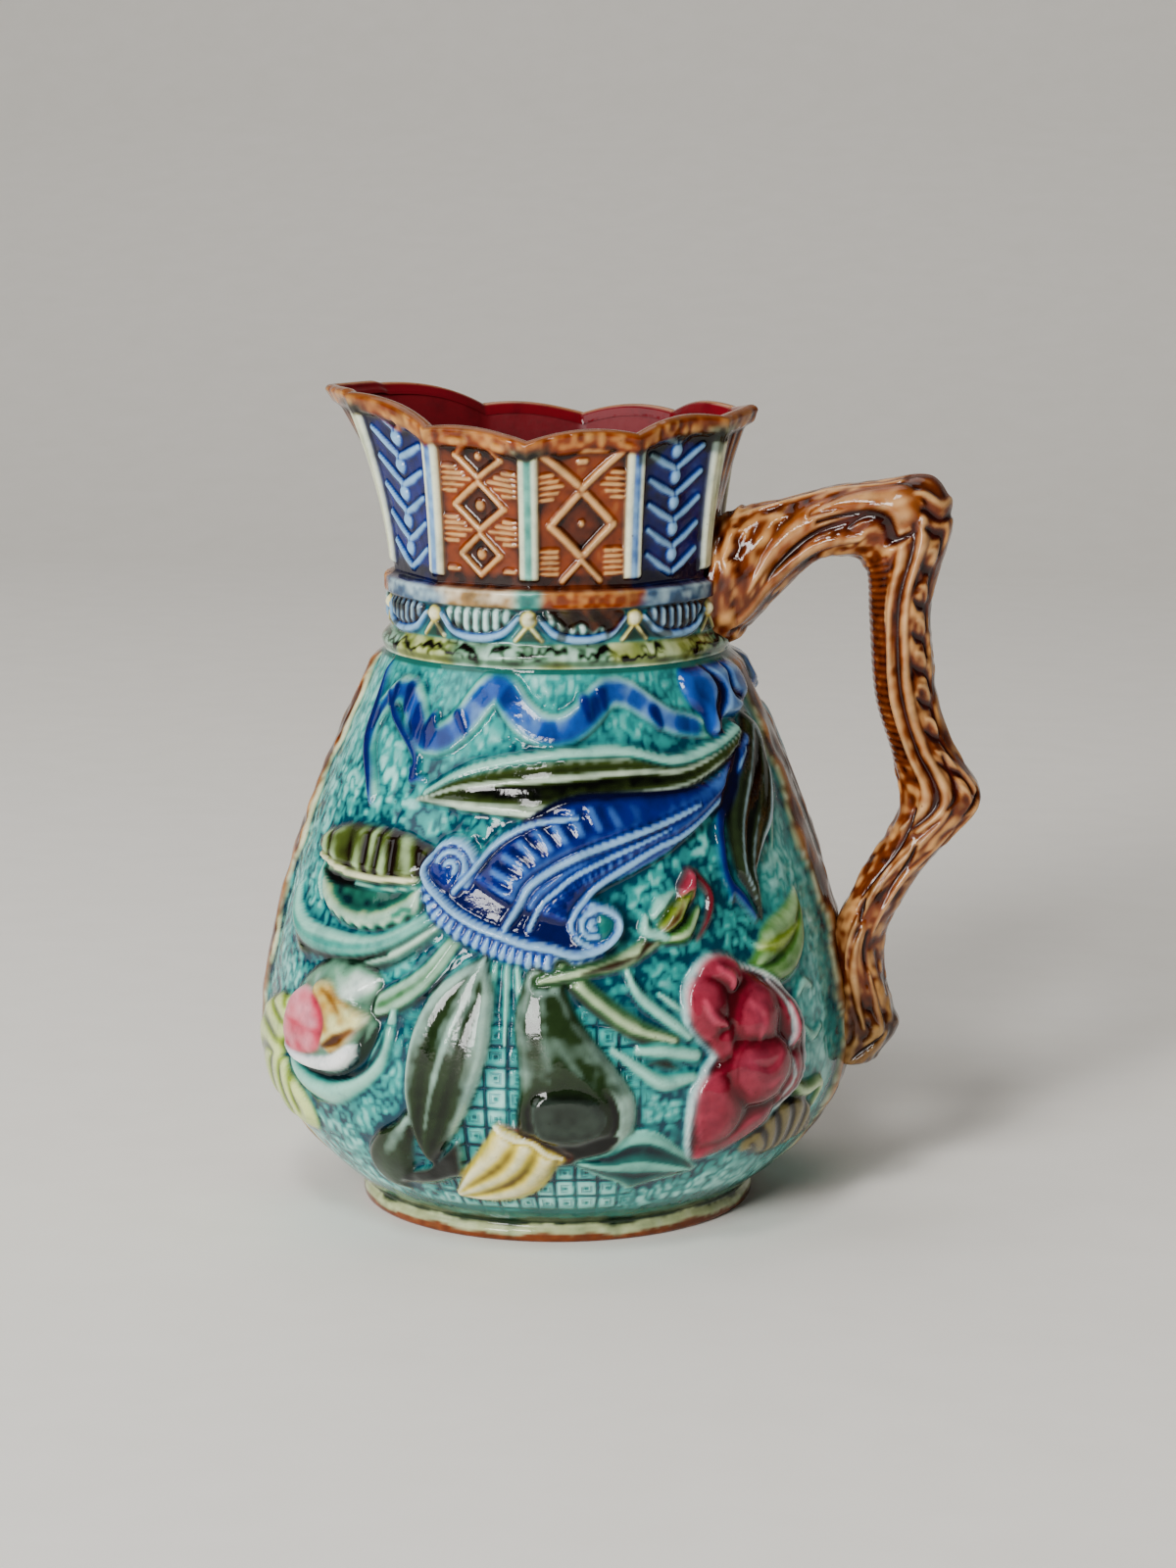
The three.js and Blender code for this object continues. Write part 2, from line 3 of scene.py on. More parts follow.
import bpy
import numpy as np
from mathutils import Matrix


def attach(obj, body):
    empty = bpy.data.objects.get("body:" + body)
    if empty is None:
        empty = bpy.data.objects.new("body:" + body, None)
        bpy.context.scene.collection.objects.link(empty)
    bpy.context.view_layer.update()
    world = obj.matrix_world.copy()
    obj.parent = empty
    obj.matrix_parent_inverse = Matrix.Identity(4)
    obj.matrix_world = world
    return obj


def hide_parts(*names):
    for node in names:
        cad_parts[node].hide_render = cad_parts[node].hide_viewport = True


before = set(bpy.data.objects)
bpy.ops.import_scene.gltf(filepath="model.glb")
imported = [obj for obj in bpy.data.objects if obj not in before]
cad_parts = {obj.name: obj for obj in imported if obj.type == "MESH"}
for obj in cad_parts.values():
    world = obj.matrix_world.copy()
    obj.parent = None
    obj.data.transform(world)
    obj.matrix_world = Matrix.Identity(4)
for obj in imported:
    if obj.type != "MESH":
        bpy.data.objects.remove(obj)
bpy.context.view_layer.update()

# The body: a pear-shaped bowl of buff earthenware, slip-cast in a two-part mould together with its relief,
# and painted by hand in lead glazes that pool dark in the hollows and run thin and pale over the edges.
# Places on a face are (degrees from its middle to the handle, height in mm). The back mirrors the front.
FOOT_RADIUS = 46.8
FOOT_HEIGHT = 3.2
FOOT_RING_INSIDE = 41.3
WAIST_RADIUS = 45.9
WAIST_HEIGHT = 4.6
BELLY_RADIUS = 69.4
BELLY_HEIGHT = 42
SHOULDER_RADIUS = 40.6
SHOULDER_HEIGHT = 132
LOWER_CURVE = 2.1
UPPER_CURVE = 1.6
BODY_ROWS = 262
TILE = 4.7  # of the mosaic in the ground
SOFT_EDGE = 0.6  # mm over which a form's glaze gives way to what is under it
CURVE_STEPS = 48


def smooth(x):
    """From 0 to 1 without a corner."""
    x = np.clip(x, 0, 1)
    return x * x * (3 - 2 * x)


def body_radius(z):
    """The body's radius at a height."""
    down = np.clip((BELLY_HEIGHT - z) / (BELLY_HEIGHT - WAIST_HEIGHT), 0, 1)
    up = np.clip((z - BELLY_HEIGHT) / (SHOULDER_HEIGHT - BELLY_HEIGHT), 0, 1)
    lower = (BELLY_RADIUS - WAIST_RADIUS) * down**LOWER_CURVE
    return BELLY_RADIUS - lower - (BELLY_RADIUS - SHOULDER_RADIUS) * up**UPPER_CURVE


def colour(hex_code):
    """A glaze's colour in linear light, deepened a little because it is seen through its own thickness."""
    parts = np.array([int(hex_code[k : k + 2], 16) / 255 for k in (0, 2, 4)])
    return np.where(parts <= 0.04045, parts / 12.92, ((parts + 0.055) / 1.055) ** 2.4) ** 1.3


def glaze(pooled, usual, thin):
    """A glaze as its three colours: where it pools, where it lies as usual, and where it runs thin."""
    return np.array([colour(pooled), colour(usual), colour(thin)])


TURQUOISE = glaze("065062", "46b0aa", "b8f2ea")
TEAL = glaze("07323c", "1f8078", "8fd0c0")
COBALT = glaze("040a3c", "0e2c86", "6494d0")
SKY = glaze("08246c", "2a62b0", "9cc4e4")
OLIVE = glaze("0c1208", "42501f", "b8cc98")
AQUA_OLIVE = glaze("241205", "5f6e34", "bcd4a4")
SLATE = glaze("050903", "364a2c", "b4d2c4")
LEAF_GREEN = glaze("14361c", "5f8f44", "cfe4bc")
YELLOW_GREEN = glaze("3f5c14", "a0b440", "dce8a4")
CRIMSON = glaze("5a0e1e", "861c36", "c45a70")
ROSE_WHITE = glaze("3f97a0", "b4d8d8", "dcecea")
PINK = glaze("8a1c34", "d0506a", "f3b6c0")
AQUA = glaze("0c5058", "4fa89c", "a8dccc")
LEMON = glaze("7a6410", "e0cf60", "f5f1cc")
CREAM = glaze("3a3416", "c4cca0", "e6ead0")
AMBER = glaze("341002", "92490f", "d4a264")
BROWN = glaze("1c0a03", "7a3a0f", "cc9450")
SOOT = glaze("030302", "0e0f0b", "4a4636")
CRACK_BROWN = glaze("0c0402", "2c1206", "5c3010")


def curve(points, closed=False):
    """A smooth line through the points."""
    p = np.array(points, float)
    n = len(p)
    if closed:
        t = np.arange(CURVE_STEPS + 1) * n / CURVE_STEPS
        i = np.floor(t).astype(int)
        a, b, c, d = (p[(i + k) % n] for k in (-1, 0, 1, 2))
    else:
        t = np.linspace(0, n - 1, CURVE_STEPS)
        i = np.clip(np.floor(t).astype(int), 0, n - 2)
        ends = np.vstack([2 * p[0] - p[1], p, 2 * p[-1] - p[-2]])
        a, b, c, d = (ends[i + k] for k in range(4))
    f = (t - i)[:, None]
    return 0.5 * (2 * b + (c - a) * f + (2 * a - 5 * b + 4 * c - d) * f**2 + (3 * b - a - 3 * c + d) * f**3)


def nearest(places, line):
    """How far each place is from a line, on its left above zero, and how far along the line that is."""
    best = np.full(len(places), 1e9)
    side = np.ones(len(places))
    along = np.zeros(len(places))
    steps = len(line) - 1
    for k in range(steps):
        run = line[k + 1] - line[k]
        rel = places - line[k]
        f = np.clip((rel @ run) / max(run @ run, 1e-9), 0, 1)
        off = rel - f[:, None] * run
        gap = np.hypot(off[:, 0], off[:, 1])
        closer = gap < best
        best[closer] = gap[closer]
        side[closer] = np.where(run[0] * rel[:, 1] - run[1] * rel[:, 0] >= 0, 1, -1)[closer]
        along[closer] = (k + f[closer]) / steps
    return best, side, along


def inside_of(places, outline):
    """Which places lie inside a closed outline."""
    inside = np.zeros(len(places), bool)
    x, y = places.T
    for (ax, ay), (bx, by) in zip(outline[:-1], outline[1:]):
        crosses = (ay > y) != (by > y)
        inside ^= crosses & (x < (bx - ax) * (y - ay) / (by - ay + 1e-12) + ax)
    return inside


def noise(x, y, size, seed):
    """Smooth random hills about this wide, from -1 to 1."""
    hills = np.random.default_rng(seed).uniform(-1, 1, (128, 128))
    x, y = x / size + 64, y / size + 64
    i, j = np.floor(x).astype(int), np.floor(y).astype(int)
    f, g = smooth(x - i), smooth(y - j)
    low = hills[i % 128, j % 128] * (1 - f) + hills[(i + 1) % 128, j % 128] * f
    high = hills[i % 128, (j + 1) % 128] * (1 - f) + hills[(i + 1) % 128, (j + 1) % 128] * f
    return low * (1 - g) + high * g


class Skin:
    """Clay and glaze on a grid: how high the clay stands in mm, the glaze's three colours, and its tone
    from -1 where it pools, through 0, to 1 where it runs thin."""

    def __init__(self, across, up, laid, mm_per_degree=None):
        """Starts flat, under one glaze. mm_per_degree is left out where it follows the round body."""
        self.across, self.up = across.ravel(), up.ravel()
        self.size = across.shape
        count = across.size
        self.height = np.zeros(count)
        self.tone = np.zeros(count)
        self.bare = np.ones(count)  # how much of the patterned ground shows
        self.laid = np.repeat(laid[None], count, axis=0)
        self.mm_per_degree = mm_per_degree

    def scale(self, points):
        """Degrees to mm, at the height of these points."""
        if self.mm_per_degree is not None:
            return self.mm_per_degree
        return np.radians(body_radius(np.mean(np.array(points)[:, 1])))

    def put(self, near, inside, height, laid, tone, soft=SOFT_EDGE):
        """Lays a form over the places near it. inside is their depth inside its edge."""
        cover = smooth(inside / soft + 0.5)
        for name, value in (("height", height), ("tone", tone), ("bare", 0)):
            old = getattr(self, name)
            old[near] += cover * (value - old[near])
        self.laid[near] += cover[:, None, None] * (laid - self.laid[near])

    def stain(self, cover, laid=None, tone=None, height=None):
        """Lays a glaze, a tone or a height over the whole grid, as far as cover says for each place."""
        if laid is not None:
            self.laid += cover[:, None, None] * (laid - self.laid)
            self.bare *= 1 - cover
        if tone is not None:
            self.tone += cover * (tone - self.tone)
        if height is not None:
            self.height += cover * (height - self.height)

    def around(self, line, margin):
        """The grid's places near a line."""
        low, high = line.min(0) - margin, line.max(0) + margin
        near = np.flatnonzero((self.across > low[0]) & (self.across < high[0]) & (self.up > low[1])
                              & (self.up < high[1]))
        return near, np.column_stack([self.across[near], self.up[near]])

    def along(self, middle, half, laid, draw, soft, flat=None):
        """A form along a line. draw gets q, the share across from -1 to 1 on the left, s, the share
        along, the depth inside the edge and the length in mm, and returns height and tone. flat is how
        many mm past its start, or past its end if below zero, the form is cut off flat, not round."""
        near, places = self.around(middle, half.max() + 2)
        gap, side, along = nearest(places, middle)
        width = np.interp(along, np.linspace(0, 1, len(half)), half)
        inside = width - gap
        if flat is not None:
            end, inner = (middle[0], middle[1]) if flat > 0 else (middle[-1], middle[-2])
            heading = (inner - end) / np.hypot(*(inner - end))
            inside = np.minimum(inside, (places - end) @ heading + abs(flat))
        length = np.hypot(*np.diff(middle, axis=0).T).sum()
        height, tone = draw(side * gap / np.maximum(width, 0.1), along, inside, length)
        self.put(near, inside, height, laid, tone, soft)

    def strip(self, left, right, laid, draw, flat=None):
        """A long form between a left and a right edge."""
        scale = self.scale(left + right)
        a, b = (curve(edge) * (scale, 1) for edge in (left, right))
        self.rescaled(scale).along((a + b) / 2, np.hypot(*(a - b).T) / 2, laid, draw, SOFT_EDGE, flat)

    def line(self, points, width, laid, draw, soft=SOFT_EDGE):
        """A form of a given width in mm along a line. The width may be a list, spread along it."""
        scale = self.scale(points)
        middle = curve(points) * (scale, 1)
        widths = np.atleast_1d(np.array(width, float))
        half = np.interp(np.linspace(0, 1, len(middle)), np.linspace(0, 1, len(widths)), widths) / 2
        self.rescaled(scale).along(middle, half, laid, draw, soft)

    def patch(self, outline, laid, draw, soft=SOFT_EDGE, smooth_outline=True):
        """A form inside a closed outline. draw gets the depth inside the edge, and the place from the
        outline's middle."""
        scale = self.scale(outline)
        line = curve(outline, closed=True) if smooth_outline else np.array(outline + outline[:1], float)
        line = line * (scale, 1)
        near, places = self.rescaled(scale).around(line, 2)
        gap = nearest(places, line)[0]
        inside = np.where(inside_of(places, line), gap, -gap)
        height, tone = draw(inside, *(places - (line.min(0) + line.max(0)) / 2).T)
        self.put(near, inside, height, laid, tone, soft)

    def each_face(self, front, draw):
        """Draws the front and the back by themselves, so that the back can be plainer."""
        for is_front in (True, False):
            which = np.flatnonzero(front.ravel() == is_front)
            face = object.__new__(Skin)
            face.__dict__.update({key: value[which] if isinstance(value, np.ndarray) else value
                                  for key, value in self.__dict__.items()})
            draw(face, not is_front)
            for name in ("height", "tone", "bare", "laid"):
                getattr(self, name)[which] = getattr(face, name)

    def rescaled(self, scale):
        """The same skin, measured sideways in mm at this scale."""
        other = object.__new__(Skin)
        other.__dict__.update(self.__dict__)
        other.across = self.across * scale
        return other

    def blurred(self, values, reach):
        """Values on the grid, averaged over some rows and columns."""
        grid = values.reshape(self.size)
        steps = int(2.5 * reach)
        weights = np.exp(-0.5 * (np.arange(-steps, steps + 1) / reach) ** 2)
        weights /= weights.sum()
        for axis in (0, 1):
            padded = np.pad(grid, [(steps, steps) if axis == k else (0, 0) for k in (0, 1)], mode="edge")
            grid = sum(w * np.take(padded, range(k, k + grid.shape[axis]), axis) for k,
                       w in enumerate(weights))
        return grid.ravel()

    def pool(self, near=1.35, far=1.15):
        """Glaze softens the clay's edges, runs off what stands out and pools in what lies low. near and
        far say how much what is close by and what lies further off count."""
        above = self.height - self.blurred(self.height, 1.5)
        hem = self.height - self.blurred(self.height, 5)
        self.tone = self.tone + np.maximum(near * above + far * np.minimum(hem, 0.25), -0.9)
        self.height, self.tone = self.blurred(self.height, 0.85), self.blurred(self.tone, 0.6)
        for shade in range(9):
            self.laid[:, shade // 3, shade % 3] = self.blurred(self.laid[:, shade // 3, shade % 3], 0.6)

    def colours(self):
        """The glaze's colour at each place, by its tone there."""
        t = np.clip(self.tone, -1, 1)[:, None]
        pooled, usual, thin = (self.laid[:, k] for k in range(3))
        return np.where(t < 0, usual + (usual - pooled) * t, usual + (thin - usual) * t)


def domed(inside, rise, edge=2.4):
    """Height of a form that rounds off towards its edge."""
    return rise * np.sqrt(smooth(inside / edge))


def plain(rise, tone, rim=0.7):
    """A smooth rounded form, paler at its edge."""
    return lambda q, s, inside, length: (domed(inside, rise, 2), tone + rim * smooth(1 - inside / 0.9))


def ridge(rise, tone):
    """A thin raised line, with the glaze thin on its crest."""
    return lambda q, s, inside, length: (rise * np.clip(1 - q * q, 0, 1) ** 0.7, tone - 0.7 * q * q)


def washed(height, tone):
    """Glaze that ran over a form without a shape of its own."""
    return lambda q, s, inside, length: (height, tone)


def ring_round(middle, half_across, half_up):
    """Eight points round a middle."""
    turns = np.arange(8) * math.pi / 4
    return [(middle[0] + half_across * math.cos(turn), middle[1] + half_up * math.sin(turn))
            for turn in turns]


def veined(rise, ribs, dark, edge_tone):
    """A leaf with ribs along it, pale at its edges and dark between the ribs."""

    def draw(q, s, inside, length):
        wave = 0.5 + 0.5 * np.cos(np.pi * q * ribs)
        tone = dark + 0.8 * wave**3 + edge_tone * smooth(1.2 - inside / 0.9)
        return domed(inside, rise) * (0.84 + 0.16 * wave), tone

    return draw


def cross_ribs(q, s, inside, length):
    """A leaf with ribs across it."""
    rib = np.abs(np.sin(np.pi * 6 * (s + 0.1 * q)))
    return domed(inside, 2.2) * (0.75 + 0.25 * rib), -0.6 + 1.5 * rib**1.5


def petal(rise):
    """A rounded petal, painted paler towards its upper left as painted light from that side."""

    def draw(inside, x, y):
        dome = rise - 1.3 * smooth(1 - inside / 6)
        height = np.maximum(np.minimum(dome, domed(inside, rise, 2.4)), rise - 1.5)
        # The tone's last term is painted light: paler towards the upper left.
        return height, -0.35 + 0.35 * smooth(inside / 3) + 0.02 * (-0.6 * x + 0.5 * y)

    return draw


def draw_ground(skin):
    """The ground between the motifs: a mosaic under the horn, and worm-like marks everywhere else."""
    u = skin.across * np.radians(body_radius(skin.up) * 0.5 + 30)
    v = skin.up
    worm = noise(u, v, 2.0, 1) + 0.5 * noise(u, v, 1.2, 2)
    line = np.exp(-((worm / 0.26) ** 2))
    blob = smooth(noise(u + 1.3 * noise(u, v, 3, 8), v, 1.7, 3) * 1.8 + 0.4)
    fx = np.abs(np.mod(u / TILE + 0.12 * noise(u, v, 7, 4), 1) - 0.5)
    fy = np.abs(np.mod(v / TILE + 0.12 * noise(u, v, 7, 5), 1) - 0.5)
    square = np.maximum(fx, fy)
    tiles = np.maximum(smooth((square - 0.38) / 0.07), 0.6 * smooth((0.14 - square) / 0.06))
    regular = smooth((27 - np.abs(skin.across - 3)) / 10) * smooth((64 - v) / 10)
    high = np.maximum(smooth((v - 104) / 10), smooth((skin.across - 44) / 14))
    marks = (0.75 * line + 0.4 * (1 - blob)) * (1 - 0.45 * high)
    mark = marks + regular * (tiles - marks)
    skin.height -= 0.26 * np.clip(mark, 0, 1)
    cloud = noise(u, v, 13, 6)
    skin.tone += 0.56 - 1.35 * mark + 0.22 * cloud + 0.2 * regular
    skin.bare = regular.copy()


def draw_half_open_flower(skin):
    """An olive fan over a dark cup with a scalloped lip, at the upper left."""
    cup = [(-51, 86), (-49.6, 81), (-46.8, 77.2), (-40.4, 74.6), (-33.2, 73.8), (-25.5, 75.6),
           (-19.4, 80.2), (-20.5, 86.5), (-36, 85)]
    skin.patch(cup, glaze("0a3a34", "4f9e86", "d2ead2"), lambda inside, x, y: (
        domed(inside, 2.4) + 0.25 * np.sin(x * 1.7) * smooth(2 - inside),
        0.1 + 0.35 * smooth(1 - inside / 0.8) + 0.5 * np.sin(x * 1.7) * smooth(2 - inside)
        - 0.8 * smooth(3 * noise(x, y, 1.5, 17) - 1.2)))
    hollow = [(-48.4, 85.6), (-46, 81), (-41, 78.4), (-36, 77.4), (-29, 78.6), (-22.4, 82.4), (-22, 85.6),
              (-30, 86.2), (-38, 85.4)]
    skin.patch(hollow, glaze("06343c", "2f7c68", "b4c48c"), lambda inside, x, y: (
        1.9 - 0.6 * smooth(inside / 2), 0.5 * smooth(0.9 - inside / 1.1) - 0.35 * smooth(inside / 2.6)
        + 0.6 * noise(x, y, 1.9, 11)), soft=1.4)
    fan_low = [(-54.9, 88), (-45, 86.4), (-36, 86), (-27, 85.6), (-20.2, 87)]
    fan_high = [(-53, 93), (-45, 95.8), (-37, 96.4), (-28, 96), (-21.5, 94)]

    def fan(q, s, inside, length):
        flute = np.abs(np.sin(np.pi * (6.5 * s + 0.35 * np.sin(11 * s) + 0.12 * q)))
        return (domed(inside, 2.5, 1.8) * (0.72 + 0.28 * flute), -1.2 + 1.5 * flute**1.4
                + 0.5 * smooth(1 - inside / 1.2) + 0.45 * np.sin(23 * s + 2 * q) - 0.3 * smooth(2 * s - 0.6)
                - 0.35 * smooth(q + 0.2))

    skin.strip(fan_high, fan_low, AQUA_OLIVE, fan)
    skin.line([(-53.5, 87.6), (-45, 86.2), (-36, 85.4), (-22, 86.4)], 1.5,
              glaze("2a2c12", "a8b27c", "ecebc6"), ridge(2.7, 0.7))
    skin.line([(-53, 85.4), (-45, 83.6), (-37, 83.4), (-27, 83.4)], [0.6, 2.6, 1.6, 0.4], SOOT,
              washed(1.0, -0.4), soft=1.0)
    skin.line([(-38, 83.8), (-30, 83.4), (-21, 84.8)], 0.9, AQUA, ridge(1.9, 0.6))


def draw_left_stems(skin):
    """Stems that run from the horn to the flowers on the left, and a dark sepal at their far end."""
    sepal = [(-62, 77), (-60.5, 71), (-57.5, 67.6), (-53, 65), (-47, 66.6), (-50, 69.4), (-57, 72)]
    skin.patch(sepal, OLIVE, lambda inside, x, y: (domed(inside, 1.6), -0.3 + 0.3 * np.sin(x + y)))
    # The aqua stem is pale on its raised upper crest, partly thin glaze and partly painted highlight, and
    # painted darker along its lower side as painted shade.
    skin.line([(-62, 78), (-59.6, 73.6), (-55, 70.6), (-47.1, 69.4), (-34.8, 69.8), (-25.9, 72.4),
               (-14.8, 80.1)], [2.6, 5.4, 6.2, 6.2, 5, 3.6], AQUA,
              lambda q, s, inside, length: (domed(inside, 1.9) + 0.5 * smooth((q - 0.35) / 0.2),
                                            0.75 * smooth((q - 0.3) / 0.2) - 0.25
                                            - 0.25 * smooth((-0.2 - q) / 0.3) + 0.9 * smooth(0.7 - inside)))
    skin.line([(-39, 66.4), (-31, 67.4), (-24, 70.4), (-15, 77.2)], [1.4, 3, 3.4, 2.6],
              glaze("142414", "609080", "c4e0cc"), veined(1.7, 1, -0.3, 0.7))
    skin.line([(-28.8, 57.2), (-23.8, 60.0), (-17.0, 65.8), (-11.5, 74)], [5.6, 5.6, 4.8, 3.4],
              glaze("1c2c10", "5c8c64", "b8dcc4"),
              lambda q, s, inside, length: (domed(inside, 2.0) - 0.5 * smooth(1.3 - np.abs(q) / 0.3),
                                            1.0 * smooth((np.abs(q) - 0.4) / 0.25) - 0.15))
    # Dark lines along the lower edges of the stems: painted shade under them.
    for shade in ([(-60.4, 71.4), (-55, 67.6), (-47, 66.2), (-35, 66.8), (-26, 69.6)],
                  [(-29, 55), (-22.6, 57.2), (-15.6, 62.8), (-10.4, 70.4)],
                  [(-37, 64.8), (-30, 65.6), (-23, 68.4), (-15, 75)]):
        skin.line(shade, [0.5, 1.1, 1.1, 0.5], glaze("0a0a04", "1c3a34", "3a8078"), washed(0.4, -0.3),
                  soft=0.9)
    skin.line([(-27.5, 46), (-24.4, 52), (-23, 57.4)], [1.4, 3, 1.6], AQUA, ridge(1.7, 0.6))
    skin.line([(-51.5, 86), (-51.8, 82), (-49.4, 78)], [1, 1.6, 0.8], AQUA, ridge(1.7, 0.8))


def draw_round_bud(skin):
    """A ribbed leaf and a round bud, low on the left."""
    ribbed_left = [(-54.6, 54.5), (-62, 52), (-70, 46), (-72.5, 39), (-66, 31), (-57, 27)]
    ribbed_right = [(-52, 50), (-53.5, 46), (-54.6, 41), (-54, 36.5), (-51, 33), (-47.5, 30.5)]
    skin.strip(ribbed_right, ribbed_left, YELLOW_GREEN, cross_ribs)
    under = [(-52.5, 44), (-45, 40.5), (-37.2, 40.1), (-29.9, 43.3), (-25.8, 48.2), (-24.5, 54.5),
             (-22.6, 53), (-24.4, 44.6), (-30, 37.6), (-37.8, 32.8), (-46, 33.4), (-51, 37.6)]
    # Painted shadow: the aqua under the bud is darker along its top edge, next to the bud.
    skin.patch(under, AQUA, lambda inside, x, y: (
        domed(inside, 2.6, 4), 0.55 - 0.9 * smooth(1 - inside / 1.8) * smooth(y / 6)))
    # A dark line along the lower edge of the bud and its white petal: painted shadow cast by them.
    skin.line([(-52.6, 44), (-45.4, 40.4), (-37.2, 39.8), (-30, 42.6), (-26, 48), (-24.6, 54)],
              [0.6, 1.3, 1.4, 1.6, 1.6, 0.8], glaze("04141c", "12404c", "3a8088"), washed(1.0, -0.4),
              soft=0.9)
    bud = [(-50.4, 59.4), (-43.3, 65.5), (-35.1, 67.2), (-28.8, 66.2), (-26.4, 62.8), (-27.6, 57.3),
           (-26.1, 54.1), (-27.4, 48.4), (-32.2, 42.4), (-39.9, 40.2), (-47.5, 41.2), (-51.7, 44.9),
           (-53.1, 50.3), (-52.2, 55.3)]

    def bud_skin(inside, x, y):
        # Aqua dome above, white petal low on the left, dark green crescent low on the right.
        crescent = smooth((x - 4) / 5) * smooth((2 - y) / 6)
        return (domed(inside, 4.6, 11) - 0.7 * smooth(1.4 - np.abs(inside - 3.4)) * crescent,
                0.4 - 1.1 * crescent * smooth((4.6 - inside) / 2) + 0.35 * noise(x, y, 3, 12)
                - 0.5 * smooth(1.6 - inside))

    skin.patch(bud, glaze("123626", "86b49a", "e8f4ec"), bud_skin)
    petal_low = [(-51, 46), (-44, 44), (-36, 45.6), (-31, 49), (-30.6, 46), (-34, 42.6), (-40, 41.2),
                 (-47, 42)]
    skin.patch(petal_low, glaze("6d8fa6", "dfe6ee", "f6f7f6"),
               lambda inside, x, y: (4.2 + 0.2 * smooth(inside), 0.4 + 0.1 * x), soft=0.8)
    heart = [(-42, 60.6), (-38.0, 62), (-34.2, 59.4), (-31.0, 57.4), (-28.2, 55.2), (-30.4, 51.5),
             (-32.6, 48.2), (-36, 46.4), (-39, 50), (-40, 56)]
    skin.patch(heart, glaze("6a3406", "c9a03c", "e8e6ac"), lambda inside, x, y: (
        4.6 + 0.3 * noise(x, y, 2, 14),
        0.3 + 0.8 * noise(x, y, 2.6, 15) - 1.2 * smooth(1.4 - inside / 0.9)), soft=0.8)
    skin.line([(-37.6, 47.4), (-34, 49.6), (-30.2, 52.6)], [1.2, 3.0, 1.4],
              glaze("1c0a02", "5c3410", "a8742c"), washed(4.2, -0.1), soft=1)
    pink = [(-50.8, 47.4), (-51, 52), (-49.2, 57), (-45, 59.6), (-40.4, 58.2), (-37.6, 54.4), (-37.6, 49.8),
            (-39.4, 46), (-44, 44.4), (-48.6, 45)]
    skin.patch(pink, PINK, lambda inside, x, y: (
        4.1 + 0.8 * smooth(inside / 4),
        0.15 + 0.02 * y + 0.25 * noise(x, y, 2.6, 13) - 0.3 * smooth(1.2 - inside)
        - 0.45 * np.exp(-(((y + 0.8 + 0.12 * x) / 0.7) ** 2))), soft=0.8)
    skin.line([(-38.8, 60.4), (-35.8, 58.6), (-33.6, 55.8)], [0.8, 1.8, 0.7],
              glaze("2c1404", "7c4c14", "c49440"), washed(4.6, -0.1), soft=0.9)


def draw_ribbon(skin):
    """The ribbon along the shoulder, with a thick pale edge, and its knot by the handle."""
    ribbon = [(56, 117.2), (49.7, 118.8), (43, 120.2), (37, 123.2), (30.5, 126.8), (24, 127.2),
              (17.6, 122.6), (12, 119.6), (5, 119.6), (-1, 122.8), (-6, 127.4), (-10, 128.2),
              (-13.5, 125.4), (-17.5, 120.4), (-23, 116.6), (-29, 116.6), (-33, 119.4), (-37, 124),
              (-42.5, 125.8), (-48, 123.6), (-51, 118.4), (-49.5, 113), (-45, 107.6), (-41, 103)]
    widths = [5.4, 6.2, 7.4, 7.8, 8.0, 8.0, 7.6, 7.0, 5.0, 2.4]
    skin.line(ribbon, widths, AQUA,
              lambda q, s, inside, length: (domed(inside, 1.2, 1.4) - 0.5 * smooth((0.5 - np.abs(q)) / 0.3),
                                            0.1 - 0.25 * q + 0.2 * np.sin(s * 40)))
    skin.line(ribbon[1:-2], [w * 0.66 for w in widths[1:]], SKY,
              lambda q, s, inside, length: (0.8 + 0.2 * np.sin(s * 31), -0.05 - 0.4 * np.sin(s * 27 + 1.6)
                                            - 0.5 * smooth(np.sin(s * 61) * 2 - 0.6)), soft=2.2)
    knot = [(53.0, 132), (49.5, 128), (50.6, 123.8), (53.8, 120.6), (54.3, 116.6), (58, 115.6), (62, 119),
            (69.7, 119.0), (78.8, 121.7), (86, 125), (85, 131), (67.9, 132.8)]

    def knot_skin(inside, x, y):
        lump = noise(x, y, 5.5, 21)
        height = domed(inside, 3.0, 3) + 0.8 * lump * smooth(inside / 2)
        return height, -0.35 + 0.7 * lump + 0.7 * smooth(1.2 - inside / 0.8)

    skin.patch(knot, SKY, knot_skin)
    skin.line([(61, 131), (64, 126), (60, 121), (59, 116)], [1, 3.0, 2.6, 1.2], COBALT, washed(1.7, -0.8),
              soft=1.4)
    skin.line([(72, 130), (70, 125), (76, 122)], [1, 2.6, 1.2], COBALT, washed(1.6, -0.6), soft=1.4)


